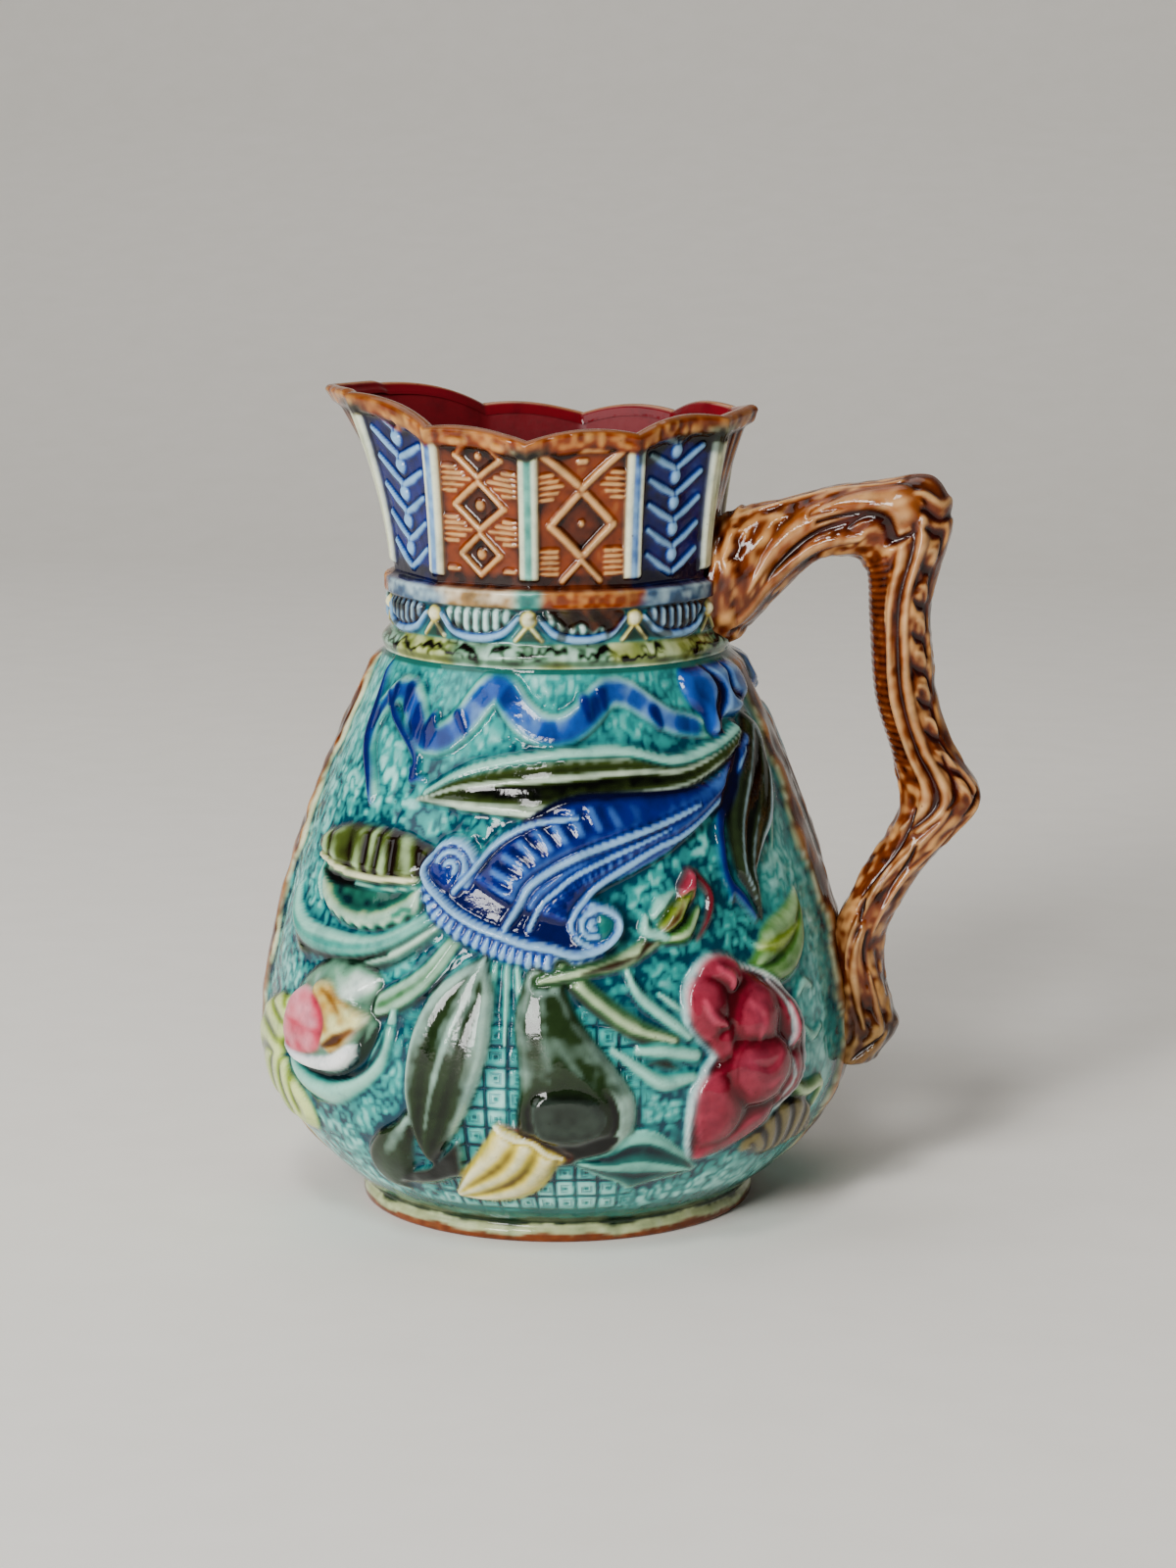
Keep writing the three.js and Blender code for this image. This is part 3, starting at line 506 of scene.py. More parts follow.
def draw_long_leaves(skin):
    """The long leaf over the horn, and the leaf that hangs from the knot."""
    leaf_high = [(-27, 103.3), (-21, 107), (-15.8, 110.2), (-6.1, 113), (7, 115), (18, 115.7),
                 (28.4, 115.4), (40.1, 112.8), (53.1, 114.6), (66, 117.5)]
    leaf_low = [(-27, 102.9), (-19, 102.6), (-12.5, 102), (-5.4, 101.2), (3, 100.4), (12, 101),
                (28.5, 103.2), (42.7, 105.6), (57, 110), (68, 114)]

    def long_leaf(q, s, inside, length):
        # From the high edge down: a broad aqua edge, olive, a pale ridge, deep olive, and a pale edge.
        bands = np.interp(q, [-1, -0.74, -0.66, -0.56, -0.42, -0.3, 0.06, 0.16, 0.26, 0.4, 0.62, 0.74, 1],
                          [0.9, 0.9, -0.1, 0.3, -0.5, -0.85, -0.9, 0.35, 0.2, -0.7, -0.4, 0.25, 0.4])
        rise = 0.5 + 0.5 * np.clip(bands, -1, 1)
        calm = smooth((s - 0.72) / 0.2)
        tip = smooth((0.3 - s) / 0.3)
        tone = bands * (1 - 0.35 * tip) + 0.25 * tip
        height = domed(inside, 2.2, 2.0) + 0.8 * rise * smooth(inside / 1.5)
        return height, tone + calm * (0.4 * bands - 0.1 - tone)

    skin.strip(leaf_high, leaf_low, glaze("0a0f06", "4a5a2c", "d9ead4"), long_leaf)
    skin.line([(-24, 105), (-15.8, 109.6), (-6.1, 112.4), (7, 114.3), (18, 115), (28.4, 114.7),
               (40.1, 112.2), (54, 114), (66, 117)], [1.2, 2.2, 2.4, 2.4, 2.4, 2.2, 1.8], AQUA,
              ridge(2.7, 0.45))
    hang_left = [(69, 115), (60.7, 108), (54.4, 102.4), (51.3, 96.9), (50.6, 91.0), (51.2, 86.5),
                 (53.4, 82.1), (55.5, 75.4)]
    hang_right = [(79, 114), (75, 107), (70, 100), (64.9, 96), (60.5, 91.5), (57.9, 87), (57.3, 82),
                  (56.5, 75.4)]

    def hanging(q, s, inside, length):
        bands = np.interp(q, [-1, -0.86, -0.5, -0.34, -0.2, 0.1, 0.24, 0.6, 0.8, 1],
                          [0.5, -0.5, -0.8, 0.1, -0.9, -0.9, -0.1, -0.8, 1.0, 1.0])
        return domed(inside, 2.4) + 0.4 * bands, bands

    skin.strip(hang_right, hang_left, glaze("060a05", "3c4a30", "c4dce4"), hanging)
    skin.line([(80, 113), (75, 104), (69.5, 97), (66, 90)], [1.4, 2.6, 2.2, 0.8], AQUA,
              veined(1.6, 1, -0.2, 0.5))


def draw_horn(skin):
    """The horn of plenty: a cobalt cone, ribbed between pale ridges, with a scroll at each lip's end."""
    horn_high = [(-17, 84.5), (-9.5, 88.5), (-4.9, 94.3), (0, 98.2), (5.6, 100.2), (14.6, 100.8),
                 (28.3, 102.7), (42.3, 105.2), (57, 109.6), (69, 115)]
    horn_low = [(19, 77), (12.4, 79), (14.0, 83.0), (18.1, 87.2), (24.5, 91), (31.6, 94.2), (40.2, 97.0),
                (48, 101), (56, 106), (68, 114)]

    def horn(q, s, inside, length):
        tube = 4.7 * np.sqrt(np.clip(1 - 0.85 * q * q, 0, 1)) * (1 - 0.45 * s)
        upper = smooth((q - 0.14) / 0.14) * smooth((0.82 - q) / 0.14) * smooth((0.66 - s) / 0.24)
        rib = np.sin(2 * np.pi * (length / 4.3) * s + 2.6 * q)
        under = smooth((-0.42 - q) / 0.1) * smooth((q + 0.86) / 0.08) * smooth((0.8 - s) / 0.2)
        fine = np.sin(2 * np.pi * (length / 2.3) * s - 0.8 * q)
        groove = smooth(1 - np.abs(q + 0.12) / 0.1)
        tone = -0.25 + upper * (0.75 * smooth(rib * 1.2) - 0.1) + under * (0.5 * smooth(fine * 1.4) - 0.4)
        tone = tone - 0.45 * groove - 0.4 * smooth((q - 0.8) / 0.1)
        return tube + 0.35 * upper * rib + 0.25 * under * fine, tone

    skin.strip(horn_high, horn_low, COBALT, horn, flat=2.5)
    # The dark mouth under the cone's near end, then the fringe and the lip.
    mouth = [(-17, 88), (-12.6, 82.2), (-6.6, 78.8), (-0.8, 76.8), (5.2, 75), (11.4, 73.2), (16.4, 74.4),
             (18, 77.6), (13, 80), (7, 81.5), (0, 84), (-6, 88), (-10, 90.5)]
    skin.patch(mouth, glaze("0a1a5c", "143296", "6494d0"), lambda inside, x, y: (
        3.2 - 1.2 * smooth(inside / 2), -0.62 + 0.4 * smooth((-4 - x) / 8)), soft=1.2)
    lip = [(-17.9, 92.5), (-19.5, 89.4), (-18, 86.4), (-15.3, 84.0), (-11.5, 80.9), (-6.4, 78.2),
           (-1.2, 76.3), (3.4, 74.6), (8.2, 73.8), (11.9, 72.4), (15.6, 72.8), (19.0, 74.3), (21.5, 77.4),
           (21.3, 80.4), (17.9, 82.3), (15.2, 81)]
    fringe_low = [(-20.4, 87.6), (-18.7, 80.6), (-14.4, 76.4), (-8.6, 73.2), (-3.2, 71), (1.6, 69.4),
                  (6.9, 68.2), (11.6, 67.8), (17.6, 71.2)]
    fringe_high = [(-19, 89), (-15.3, 84.0), (-11.5, 80.9), (-6.4, 78.2), (-1.2, 76.3), (3.4, 74.6),
                   (8.2, 73.8), (11.9, 72.4), (18, 73.4)]

    def fringe(q, s, inside, length):
        pleat = np.sin(2 * np.pi * (length / 2.1) * s)
        height = domed(inside, 2.4, 1.5) + 0.4 * pleat
        return height, 0.1 + 0.5 * pleat - 0.4 * q * pleat + 0.25 * smooth(1.2 - inside)

    skin.strip(fringe_high, fringe_low, SKY, fringe)
    for middle, arcs, turn, ground in (((-13.4, 90.2), (5.4, 3.4, 1.3), 0.4, COBALT),
                                       ((16.4, 78.6), (4.4, 2.5, 0.8), 2.6, TEAL)):
        scale = skin.scale([middle])
        skin.patch(ring_round(middle, 5.4 / scale, 5.4), ground,
                   lambda inside, x, y: (2.8 + 0.5 * smooth(inside / 3), -0.5), soft=1)
        for radius in arcs:
            arc = [(middle[0] + radius / scale * math.cos(a), middle[1] + radius * math.sin(a))
                   for a in np.linspace(turn - 1.2, turn + 2.4, 7)]
            skin.line(arc, 1.5, SKY, ridge(4.2, 0.8))
    for points, width, rise in (([(-12, 85.1), (-8.3, 89.9), (-4.9, 94.6), (-0.9, 97.8), (5, 100.3),
                                  (14, 101.4)], [1.8, 1.8, 1.2], 4.4),
                                ([(-0.9, 77.8), (1.6, 82.4), (3.8, 87.0), (8.1, 90.4), (14.3, 93.6),
                                  (23.0, 96.5), (34, 99.6), (44, 102.6)], [1.8, 2.8, 2.6, 2.2, 0.8], 4.9),
                                ([(3.9, 77.8), (6.2, 83.1), (9.3, 86.2), (13.4, 89.4), (20.5, 92.8),
                                  (28, 95.6), (35, 98)], [1.5, 1.6, 1.4, 0.6], 4.3),
                                ([(12.4, 77), (12.0, 78.9), (14.0, 82.8), (18.1, 87.0), (24.5, 90.8),
                                  (31.6, 94.2), (40.2, 97.1), (55, 105.2), (66, 112.4)],
                                 [1.5, 2.2, 2.2, 1.8, 1.0], 2.9)):
        skin.line(points, width, SKY, ridge(rise, 0.62), soft=0.9)
    skin.line(lip, [1.6, 2.4, 2.4, 2.4, 2.4, 1.6], SKY, ridge(5.0, 0.95), soft=0.8)


def draw_pear(skin, plainer):
    """The leaves and the pear that hang under the horn."""
    for angle, lean in () if plainer else ((-2.6, -0.6), (-0.4, 0.0), (1.6, 0.6)):
        skin.line([(angle, 69.6), (angle + lean, 60), (angle + 1.2 * lean, 52)], [1.5, 1.3, 0.6], AQUA,
                  ridge(1.3, 0.6))
    leaf_b_left = [(-19, 37), (-23.8, 31.4), (-29.4, 26), (-33.6, 19.6), (-34, 15), (-29, 12.8)]
    leaf_b_right = [(-17.5, 34), (-19, 29), (-20.5, 24.6), (-22, 20), (-24, 16.5), (-27.5, 12.8)]
    skin.strip(leaf_b_right, leaf_b_left, SLATE, lambda q, s, inside, length: (
        domed(inside, 2.4) + 0.2 * np.cos(4 * q),
        -0.3 + 0.25 * np.cos(5 * q) + 0.9 * smooth((q - 0.7) / 0.15) - 0.4 * s))
    leaf_a_left = [(-5.4, 71.3), (-11.7, 64), (-16.6, 57.6), (-19.2, 50.3), (-19.9, 41.6), (-19.2, 34.2),
                   (-18.3, 27), (-16.4, 21.5)]
    leaf_a_right = [(-3.8, 71.3), (-2.2, 65), (-2.6, 57.7), (-3.8, 49.2), (-6.6, 38.8), (-10.1, 30.7),
                    (-13.6, 25), (-16.0, 21.5)]

    def leaf_a(q, s, inside, length):
        rib = smooth(1.4 - np.abs(q - 0.06 + 0.2 * s) / 0.08) * smooth((s - 0.12) * 6)
        side = smooth((np.abs(q) - 0.8) / 0.1)
        valley = smooth(1.2 - np.abs(np.abs(q) - 0.42) / 0.2)
        foot = smooth((s - 0.62) / 0.34)
        tone = (0.1 + 0.5 * rib + 1.2 * side - 0.35 * valley - 0.6 * smooth((s - 0.3) / 0.4) * (1 - side)
                - 0.6 * foot * (1 - side))
        return domed(inside, 3.4, 2) + 0.15 * rib + 0.2 * side - 0.15 * valley, tone

    skin.strip(leaf_a_right, leaf_a_left, SLATE, leaf_a)
    pear = [(4.6, 70), (2.2, 64), (1.2, 57), (2.0, 49), (2.2, 42), (1.6, 36), (2.4, 30), (6, 25.6),
            (11, 23.6), (17, 24.6), (22.4, 28.6), (24.2, 34.4), (23.4, 41), (20.4, 47), (16.6, 53),
            (13.2, 59), (10.2, 66)]

    def pear_skin(inside, x, y):
        rim = smooth((x + 0.25 * y - 1.5) / 3) * smooth((-3 - y) / 4)
        band = rim * smooth((5.2 - inside) / 1)
        return (domed(inside, 2.3, 2.2) + 0.25 * np.clip(inside - 1.5, 0, 5.5)
                - 0.5 * rim * smooth(1.3 - np.abs(inside - 5.2) / 0.9),
                -0.25 + 1.0 * smooth(1.4 - inside / 0.9) + 0.5 * band - 0.85 * smooth((-2 - y) / 9)
                * (1 - band) + 0.1 * noise(x, y, 5, 31))

    skin.patch(pear, SLATE, pear_skin)
    plum = [(5, 40), (11, 42.6), (16, 40.6), (18.2, 36), (16.4, 32), (11, 30.6), (6, 31.6)]
    skin.patch(plum, glaze("030402", "1a2219", "56645a"), lambda inside, x, y: (
        4.0 + 0.5 * smooth(inside / 3), -0.1 + 0.3 * smooth(inside / 3)), soft=1.0)
    if not plainer:
        for spill in ([(-27, 15.6), (-22, 19.5), (-17, 21.6), (-12, 27), (-9.6, 29.4), (-9.8, 24),
                       (-10.6, 20), (-14.3, 18.2), (-20, 16)],
                      [(2.6, 31), (7, 30.6), (12, 29.6), (17.4, 31.5), (20.6, 31), (18, 26.6), (10, 23.6),
                       (5, 25)]):
            skin.patch(spill, SOOT, lambda inside, x, y: (
                2.3 + 0.3 * noise(x, y, 2.5, 41),
                -0.45 + 0.8 * smooth(noise(x, y, 1.3, 42) * 3 - 1.6)), soft=1.2)


def draw_yellow_petal(skin):
    """The curled yellow petal at the bottom."""
    petal_high = [(-14, 14.8), (-10.3, 21.6), (-5.6, 28), (-2.4, 33.4)]
    petal_base = [(-12, 12.8), (-3, 12.8), (5.4, 16.2), (10.4, 25.6)]

    def yellow(q, s, inside, length):
        rib = np.cos(np.pi * 3.4 * q)
        return domed(inside, 2.8, 2) + 0.35 * rib, -0.05 + 0.4 * rib + 0.8 * smooth(1.5 - inside / 0.8)

    skin.strip(petal_high, petal_base, LEMON, yellow, flat=-0.8)
    skin.line([(-2.2, 33.2), (1.4, 30.6), (4.6, 30), (7.4, 27), (10.2, 25.8)], [1.2, 1.8, 1.6, 1.8, 1],
              LEMON, ridge(2.9, 0.7))
    skin.line([(-1.6, 34.4), (3, 32.2), (7.6, 29.6), (11.4, 26.4)], [0.5, 1.2, 0.6, 1.4], AMBER,
              washed(1.4, -0.7), soft=0.9)


def draw_right_stems(skin):
    """The low turquoise leaf, and the stems on the right."""
    skin.strip([(13.6, 25.4), (20, 27.6), (25, 32), (31, 27.5), (39, 20.4)],
               [(13.6, 22.9), (19, 19.4), (25, 16.0), (32, 17.4), (39, 19)], TEAL,
               lambda q, s, inside, length: (domed(inside, 2.0) + 0.4 * np.cos(np.pi * 2 * q),
                                             -0.8 + 1.3 * smooth(np.cos(np.pi * 2 * q + 1) * 2)
                                             + 1.6 * smooth(1.3 - inside / 0.9)))
    olive_stem = glaze("10140a", "4f7850", "c8dcb4")
    skin.line([(10.3, 69.4), (16.3, 62.4), (23.4, 56), (31.5, 52.2)], [4.4, 5.2, 5.0, 3], olive_stem,
              veined(2.0, 1, -0.5, 1.1))
    skin.line([(9.8, 66.6), (14.8, 60.8), (21.2, 54.8), (27.4, 51.6), (33.6, 50)],
              [0.7, 1.1, 0.8, 1.6, 0.8], CRACK_BROWN, washed(0.9, -0.2), soft=0.8)
    skin.line([(22.6, 69), (25.6, 62), (34.6, 53)], [1.0, 3, 3], AQUA, ridge(1.5, 0.4))
    skin.line([(29, 62.8), (32, 60), (34.4, 57.6)], [0.8, 2, 0.8], AQUA, ridge(1.1, 0.4))
    skin.line([(24.6, 50.6), (29, 50.2), (36, 48.4)], [2.6, 4.2, 3.2], AQUA, veined(2.0, 1, 0.1, 0.7))
    skin.line([(19.6, 51), (24, 47), (29.0, 43), (35.2, 43.4)], [1.6, 2.8, 4.0, 3.0], AQUA,
              veined(1.8, 1, 0.1, 0.7))
    skin.line([(26, 47.8), (29.6, 47.2), (32, 45.8)], [0.6, 2.2, 0.6], glaze("0c0a05", "2a2a18", "6a5a34"),
              washed(0.6, -0.2), soft=1)
    skin.line([(6, 66.4), (14, 68.4), (22.4, 70.6), (28, 73.8), (32.6, 76.4)], [3.4, 4, 4, 4, 3.4],
              olive_stem, veined(2.0, 1, -0.15, 0.9))
    for crack in ([(14, 68), (20, 69.6), (25, 71.4)], [(25, 70.6), (27.6, 74), (31, 75.4)],
                  [(29, 76), (32, 74.6)]):
        skin.line(crack, [0.6, 1.9, 0.6], CRACK_BROWN, washed(1.5, -0.4), soft=0.7)


def draw_small_bud(skin):
    """The small bud at the upper right, with its sepals."""
    skin.line([(38.4, 73.4), (41.6, 78), (43, 83), (40.4, 87.6)], [1.0, 2.0, 2.8, 2.2],
              glaze("24040a", "58121f", "8a3444"), plain(2.2, -0.2, rim=0.1))
    skin.line([(35.5, 80.4), (37.4, 84), (38.8, 87.4)], [3, 5.2, 3.6], CRIMSON, plain(3.4, -0.4, rim=0.2))
    skin.line([(29.4, 79.6), (31.4, 82), (34.6, 84.4)], [2.4, 3.8, 1.2], AQUA, plain(2.2, 0.1))
    skin.line([(30.6, 75.4), (34, 79.4), (38, 83.6)], [3.4, 5.4, 1.8], YELLOW_GREEN,
              veined(3.0, 1, -1.1, 0.9))
    skin.line([(31.4, 74.6), (35.6, 75.6), (39.6, 80)], [3, 5.0, 1.8], LEAF_GREEN,
              veined(2.8, 1, -0.9, 0.8))
    skin.line([(30, 76), (33.4, 79), (36, 82.6)], [0.8, 1.8, 0.5], glaze("0c0402", "34180a", "6a3a12"),
              washed(2.8, 0), soft=0.9)
    skin.line([(27.6, 79.4), (27.4, 76.6), (31.2, 75)], [1.2, 3, 2], AQUA, ridge(2.0, 0.8))


def draw_rose(skin):
    """The leaves by the rose, then the rose, petal over petal."""
    skin.strip([(50.6, 67.6), (53.6, 72.4), (60.2, 76.2), (69.6, 80)],
               [(52, 63.6), (60, 61.4), (67, 66), (70.6, 79)], LEAF_GREEN,
               lambda q, s, inside, length: (domed(inside, 2.3, 3) - 0.5 * smooth(1.2 - np.abs(q) / 0.2),
                                             -0.15 - 0.4 * smooth(1.2 - np.abs(q) / 0.25)
                                             + 1.1 * smooth(1.2 - inside / 0.9)))
    skin.line([(53, 70), (59, 70), (66, 73)], [1, 4, 1], YELLOW_GREEN, lambda q, s, inside, length: (
        2.0 + 0.2 * np.cos(3 * q), -0.2 + 0.3 * np.cos(5 * q)), soft=2)
    skin.line([(59, 38), (64, 34.2), (70.5, 34.4), (70, 28)], [3, 5.4, 4, 2], LEAF_GREEN,
              veined(2.0, 1, -0.2, 0.8))
    for ring, width in (([(63.5, 57), (66, 59.2), (69, 57.6)], 1.6),
                        ([(64, 49.6), (67, 46.6), (71, 48)], 1.5)):
        skin.line(ring, [1.0, width + 0.8, 1.0], AQUA, ridge(1.1, 0.9), soft=1.4)
    skin.strip([(50.4, 26.6), (54.1, 32.4), (60, 33.4), (67, 29.4), (74, 22)],
               [(52, 21.8), (58, 19.6), (63.4, 19.4), (69, 19.8), (74, 21)],
               glaze("120c06", "3c2c16", "94885c"), cross_ribs)
    whole = [(35, 63.5), (38.6, 68.6), (42.6, 70), (46.6, 67.6), (52.6, 64), (57.6, 59.4), (61, 53),
             (61.4, 44), (60, 37.4), (54.6, 32.6), (47.6, 26), (38, 22.4), (35.2, 30), (35.2, 39.4),
             (37.8, 44.6), (39.6, 47.6), (37, 51.4), (34.4, 56)]
    for shift, reach in ((-0.9, 0.4), (1.1, -0.2)):
        skin.patch([(x + shift, z + reach) for x, z in whole], ROSE_WHITE,
                   lambda inside, x, y: (domed(inside, 2.6, 2), 1.1))
    skin.patch(whole, CRIMSON, lambda inside, x, y: (domed(inside, 3.2, 3), -0.5), soft=1.0)
    for outline, rise in (([(37.4, 27.6), (37.4, 22.9), (41, 23.4), (48.4, 26.6), (53.2, 30.6), (53, 36),
                            (46, 35.4), (41, 31)], 3.7),
                          ([(52.8, 63.2), (56.6, 59.8), (60.4, 54.8), (61.2, 49), (59, 45.4), (55, 47.6),
                            (53, 54), (52.2, 59.4)], 4.2),
                          ([(54.8, 47.4), (58.6, 47.6), (61.2, 43.6), (60.4, 38.4), (56.6, 35),
                            (53.2, 37.6), (53.8, 42.6)], 4.0),
                          ([(36.8, 65.6), (38.6, 69.2), (42.5, 70.2), (46.2, 68.2), (47.4, 64.2),
                            (44.5, 61.4), (40, 62)], 4.2),
                          ([(38.4, 54.4), (38.8, 49.6), (40.6, 46.8), (43.4, 47), (44.4, 51), (43, 55.4),
                            (40, 56.6)], 4.2),
                          ([(34.6, 64), (34.2, 58.5), (35.6, 54), (38.4, 51.5), (41.8, 54.5), (43.2, 60),
                            (41.4, 64.8), (37.5, 66.2)], 4.5),
                          ([(35.8, 41.8), (35.2, 36), (36.2, 29.8), (38.6, 26.6), (43, 27.6), (45.6, 32.6),
                            (44.8, 38.6), (41.4, 43.6), (38.6, 44.4)], 4.6),
                          ([(43.4, 57), (45.4, 61.4), (48.6, 63.2), (52.5, 61), (54, 55.6), (52.2, 50.2),
                            (47.6, 48.8), (43.8, 52)], 5.4),
                          ([(42, 46.6), (44.6, 50.6), (50, 51.2), (55, 48.4), (56, 42.4), (52.2, 36.8),
                            (46.6, 35.8), (42.2, 40.4)], 5.6)):
        skin.patch(outline, CRIMSON, petal(rise), soft=1.2)
    for edge in ([(46.6, 67), (52.6, 64.2), (57.6, 59.8), (61.2, 53.4), (61.4, 45), (60, 37.8), (55.4, 33)],
                 [(52.6, 63), (56.4, 57.6), (57.4, 51), (56.2, 47.6)],
                 [(56.6, 44), (57.4, 40), (55.4, 36)]):
        skin.line(edge, [0.5, 0.9, 0.6], ROSE_WHITE, ridge(4.6, 1.0), soft=0.7)
    for fold in ([(41, 67.6), (43.4, 65.4), (43.6, 62.8)], [(37, 61), (38.6, 57), (41.4, 55)],
                 [(46.6, 59.4), (48.6, 55.4), (48, 50.8)], [(45, 46.4), (49, 44.6), (52.6, 46.6)],
                 [(57.6, 57), (58.4, 51.6), (57, 47.4)], [(46, 42.6), (49.6, 40.4), (52.6, 41.4)]):
        skin.line(fold, [0.6, 1.8, 0.6], CRIMSON, washed(5.0, 0.75), soft=1.5)


def draw_drips(skin):
    """Blue glaze that ran down from the knot and from the ribbon."""
    for run, width in (
        ([(62, 112), (56, 106), (50.6, 99.5), (49.0, 94), (48.4, 86), (51.6, 81), (54.3, 76)],
         [1.4, 3.8, 3.0, 2.4, 2.2, 2.4, 1]),
        ([(48.6, 86), (48.6, 81)], [1.6, 0.8]),
        ([(-57, 131), (-53.7, 122.7), (-51.6, 114.7), (-45, 107), (-41, 101)], [1.4, 3.0, 3.2, 2.6, 1]),
        ([(-48.8, 125), (-42.6, 120.6), (-34.0, 115.5), (-29.4, 111.6), (-29, 107.6)],
         [1.2, 2.6, 2.0, 1.8, 2.4]),
        ([(-31, 110), (-28, 108), (-25.6, 107.6)], [0.8, 1.6, 0.8]),
        ([(-33.5, 123), (-32.4, 120), (-31.5, 116.6)], [2.0, 4.2, 1.6]),
        ([(-27.4, 121.4), (-27.2, 118), (-27, 114.8)], [2.0, 4.2, 1.6]),
        ([(-45.6, 126.4), (-44.2, 121.6)], [2.2, 1.2]),
        ([(-39, 126.6), (-38.4, 121.6)], [3.4, 1.6]),
        ([(-19.6, 122.4), (-16, 118.4)], [2.2, 1.4]),
        ([(17.2, 126), (18.4, 121.6)], [2.6, 1.4]),
        ([(22.6, 127.6), (23, 124)], [2.4, 1.2]),
        ([(37.6, 123), (38.6, 119.6)], [3.0, 1.6]),
    ):
        skin.line(run, width, COBALT, washed(1.3, -0.75), soft=1.0)


def draw_face(skin, plainer):
    """Everything in relief on one face, each form over the one before. The back is plainer: it has no
    drips, spills or thin stems."""
    draw_half_open_flower(skin)
    draw_left_stems(skin)
    draw_round_bud(skin)
    draw_ribbon(skin)
    draw_long_leaves(skin)
    draw_horn(skin)
    draw_pear(skin, plainer)
    draw_yellow_petal(skin)
    draw_right_stems(skin)
    draw_small_bud(skin)
    draw_rose(skin)
    if not plainer:
        draw_drips(skin)


def bark_band(skin, side):
    """The band of bark between the faces, brown with a thin cream edge, over the mould's seam."""
    z = skin.up
    off = np.radians(90 - side * skin.across) * body_radius(z)
    share = z / SHOULDER_HEIGHT
    wave = 1.6 * np.sin(2 * np.pi * 5 * share + 0.8 * side) + 0.8 * np.sin(2 * np.pi * 11 * share)
    lobe = 5.5 * np.exp(-(((z - 93) / 6) ** 2)) if side > 0 else 0
    half = (10.4 if side > 0 else 20) * (0.2 + 0.8 * body_radius(z) / BELLY_RADIUS) + wave + lobe
    inside = half - off
    near = np.flatnonzero(inside > -2)
    u, v, depth = off[near], z[near], inside[near]
    grain = noise(u, v * 0.32, 1.6, 51) + 0.6 * noise(u, v, 5, 52)
    height = domed(depth, 1.5, 2) + 0.45 * grain * smooth(depth / 2)
    tone = -0.35 + 0.75 * grain * smooth((depth - 1) / 1.5)
    edge = smooth((1.3 - depth) / 0.4)
    skin.put(near, depth, height, BROWN + edge[:, None, None] * (CREAM - BROWN), tone + edge * (0.5 - tone))


def mesh_from_grid(name, points, wraps, attributes):
    """A mesh of squares over a grid of points in mm. wraps joins the last column to the first."""
    rows, columns = points.shape[:2]
    across = np.arange(columns if wraps else columns - 1)
    row, column = np.meshgrid(np.arange(rows - 1), across, indexing="ij")
    following = (column + 1) % columns
    corners = np.stack([row * columns + column, row * columns + following,
                        (row + 1) * columns + following, (row + 1) * columns + column], -1).reshape(-1, 4)
    mesh = bpy.data.meshes.new(name)
    mesh.vertices.add(rows * columns)
    mesh.vertices.foreach_set("co", (points.reshape(-1, 3) * 0.001 + (axis_x, 0, 0)).ravel())
    mesh.loops.add(corners.size)
    mesh.loops.foreach_set("vertex_index", corners.ravel())
    mesh.polygons.add(len(corners))
    mesh.polygons.foreach_set("loop_start", np.arange(0, corners.size, 4))
    mesh.polygons.foreach_set("loop_total", np.full(len(corners), 4))
    mesh.polygons.foreach_set("use_smooth", np.ones(len(corners), bool))
    mesh.update(calc_edges=True)
    for key, values in attributes.items():
        kind, field = ("FLOAT_COLOR", "color") if values.shape[1] == 4 else ("FLOAT_VECTOR", "vector")
        mesh.attributes.new(key, kind, "POINT").data.foreach_set(field, values.astype(np.float32).ravel())
    thing = bpy.data.objects.new(name, mesh)
    bpy.context.collection.objects.link(thing)
    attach(thing, "root")
    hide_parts("pitcher")
    return thing


def with_alpha(colours):
    """Colours with a fourth value of one each."""
    return np.column_stack([colours, np.ones(len(colours))])


class Wires:
    """Shader nodes written as sums: every value is a socket or a number."""

    def __init__(self, tree):
        """Keeps the tree that the nodes go into."""
        self.tree = tree

    def feed(self, socket, value):
        """Joins a socket to a socket, or sets it to a number or colour."""
        if isinstance(value, bpy.types.NodeSocket):
            self.tree.links.new(value, socket)
        else:
            socket.default_value = value

    def math(self, operation, *values):
        """One sum."""
        node = self.tree.nodes.new("ShaderNodeMath")
        node.operation = operation
        for socket, value in zip(node.inputs, values):
            self.feed(socket, value)
        return node.outputs[0]

    def node(self, kind, out=0, settings=(), **inputs):
        """Any other node, with its inputs by name."""
        node = self.tree.nodes.new(kind)
        for key, value in dict(settings).items():
            setattr(node, key, value)
        for key, value in inputs.items():
            self.feed(node.inputs[key.replace("_", " ")], value)
        return node.outputs[out]

    def range(self, value, low, high, to_low=0.0, to_high=1.0):
        """A value spread smoothly from one range to another."""
        node = self.tree.nodes.new("ShaderNodeMapRange")
        node.interpolation_type = "SMOOTHSTEP"
        for socket, each in zip(node.inputs, (value, low, high, to_low, to_high)):
            self.feed(socket, each)
        return node.outputs[0]

    def mix(self, share, a, b, blend="MIX"):
        """Two colours mixed."""
        node = self.tree.nodes.new("ShaderNodeMix")
        node.data_type, node.blend_type = "RGBA", blend
        for socket, each in ((node.inputs[0], share), (node.inputs[6], a), (node.inputs[7], b)):
            self.feed(socket, each)
        return node.outputs[2]


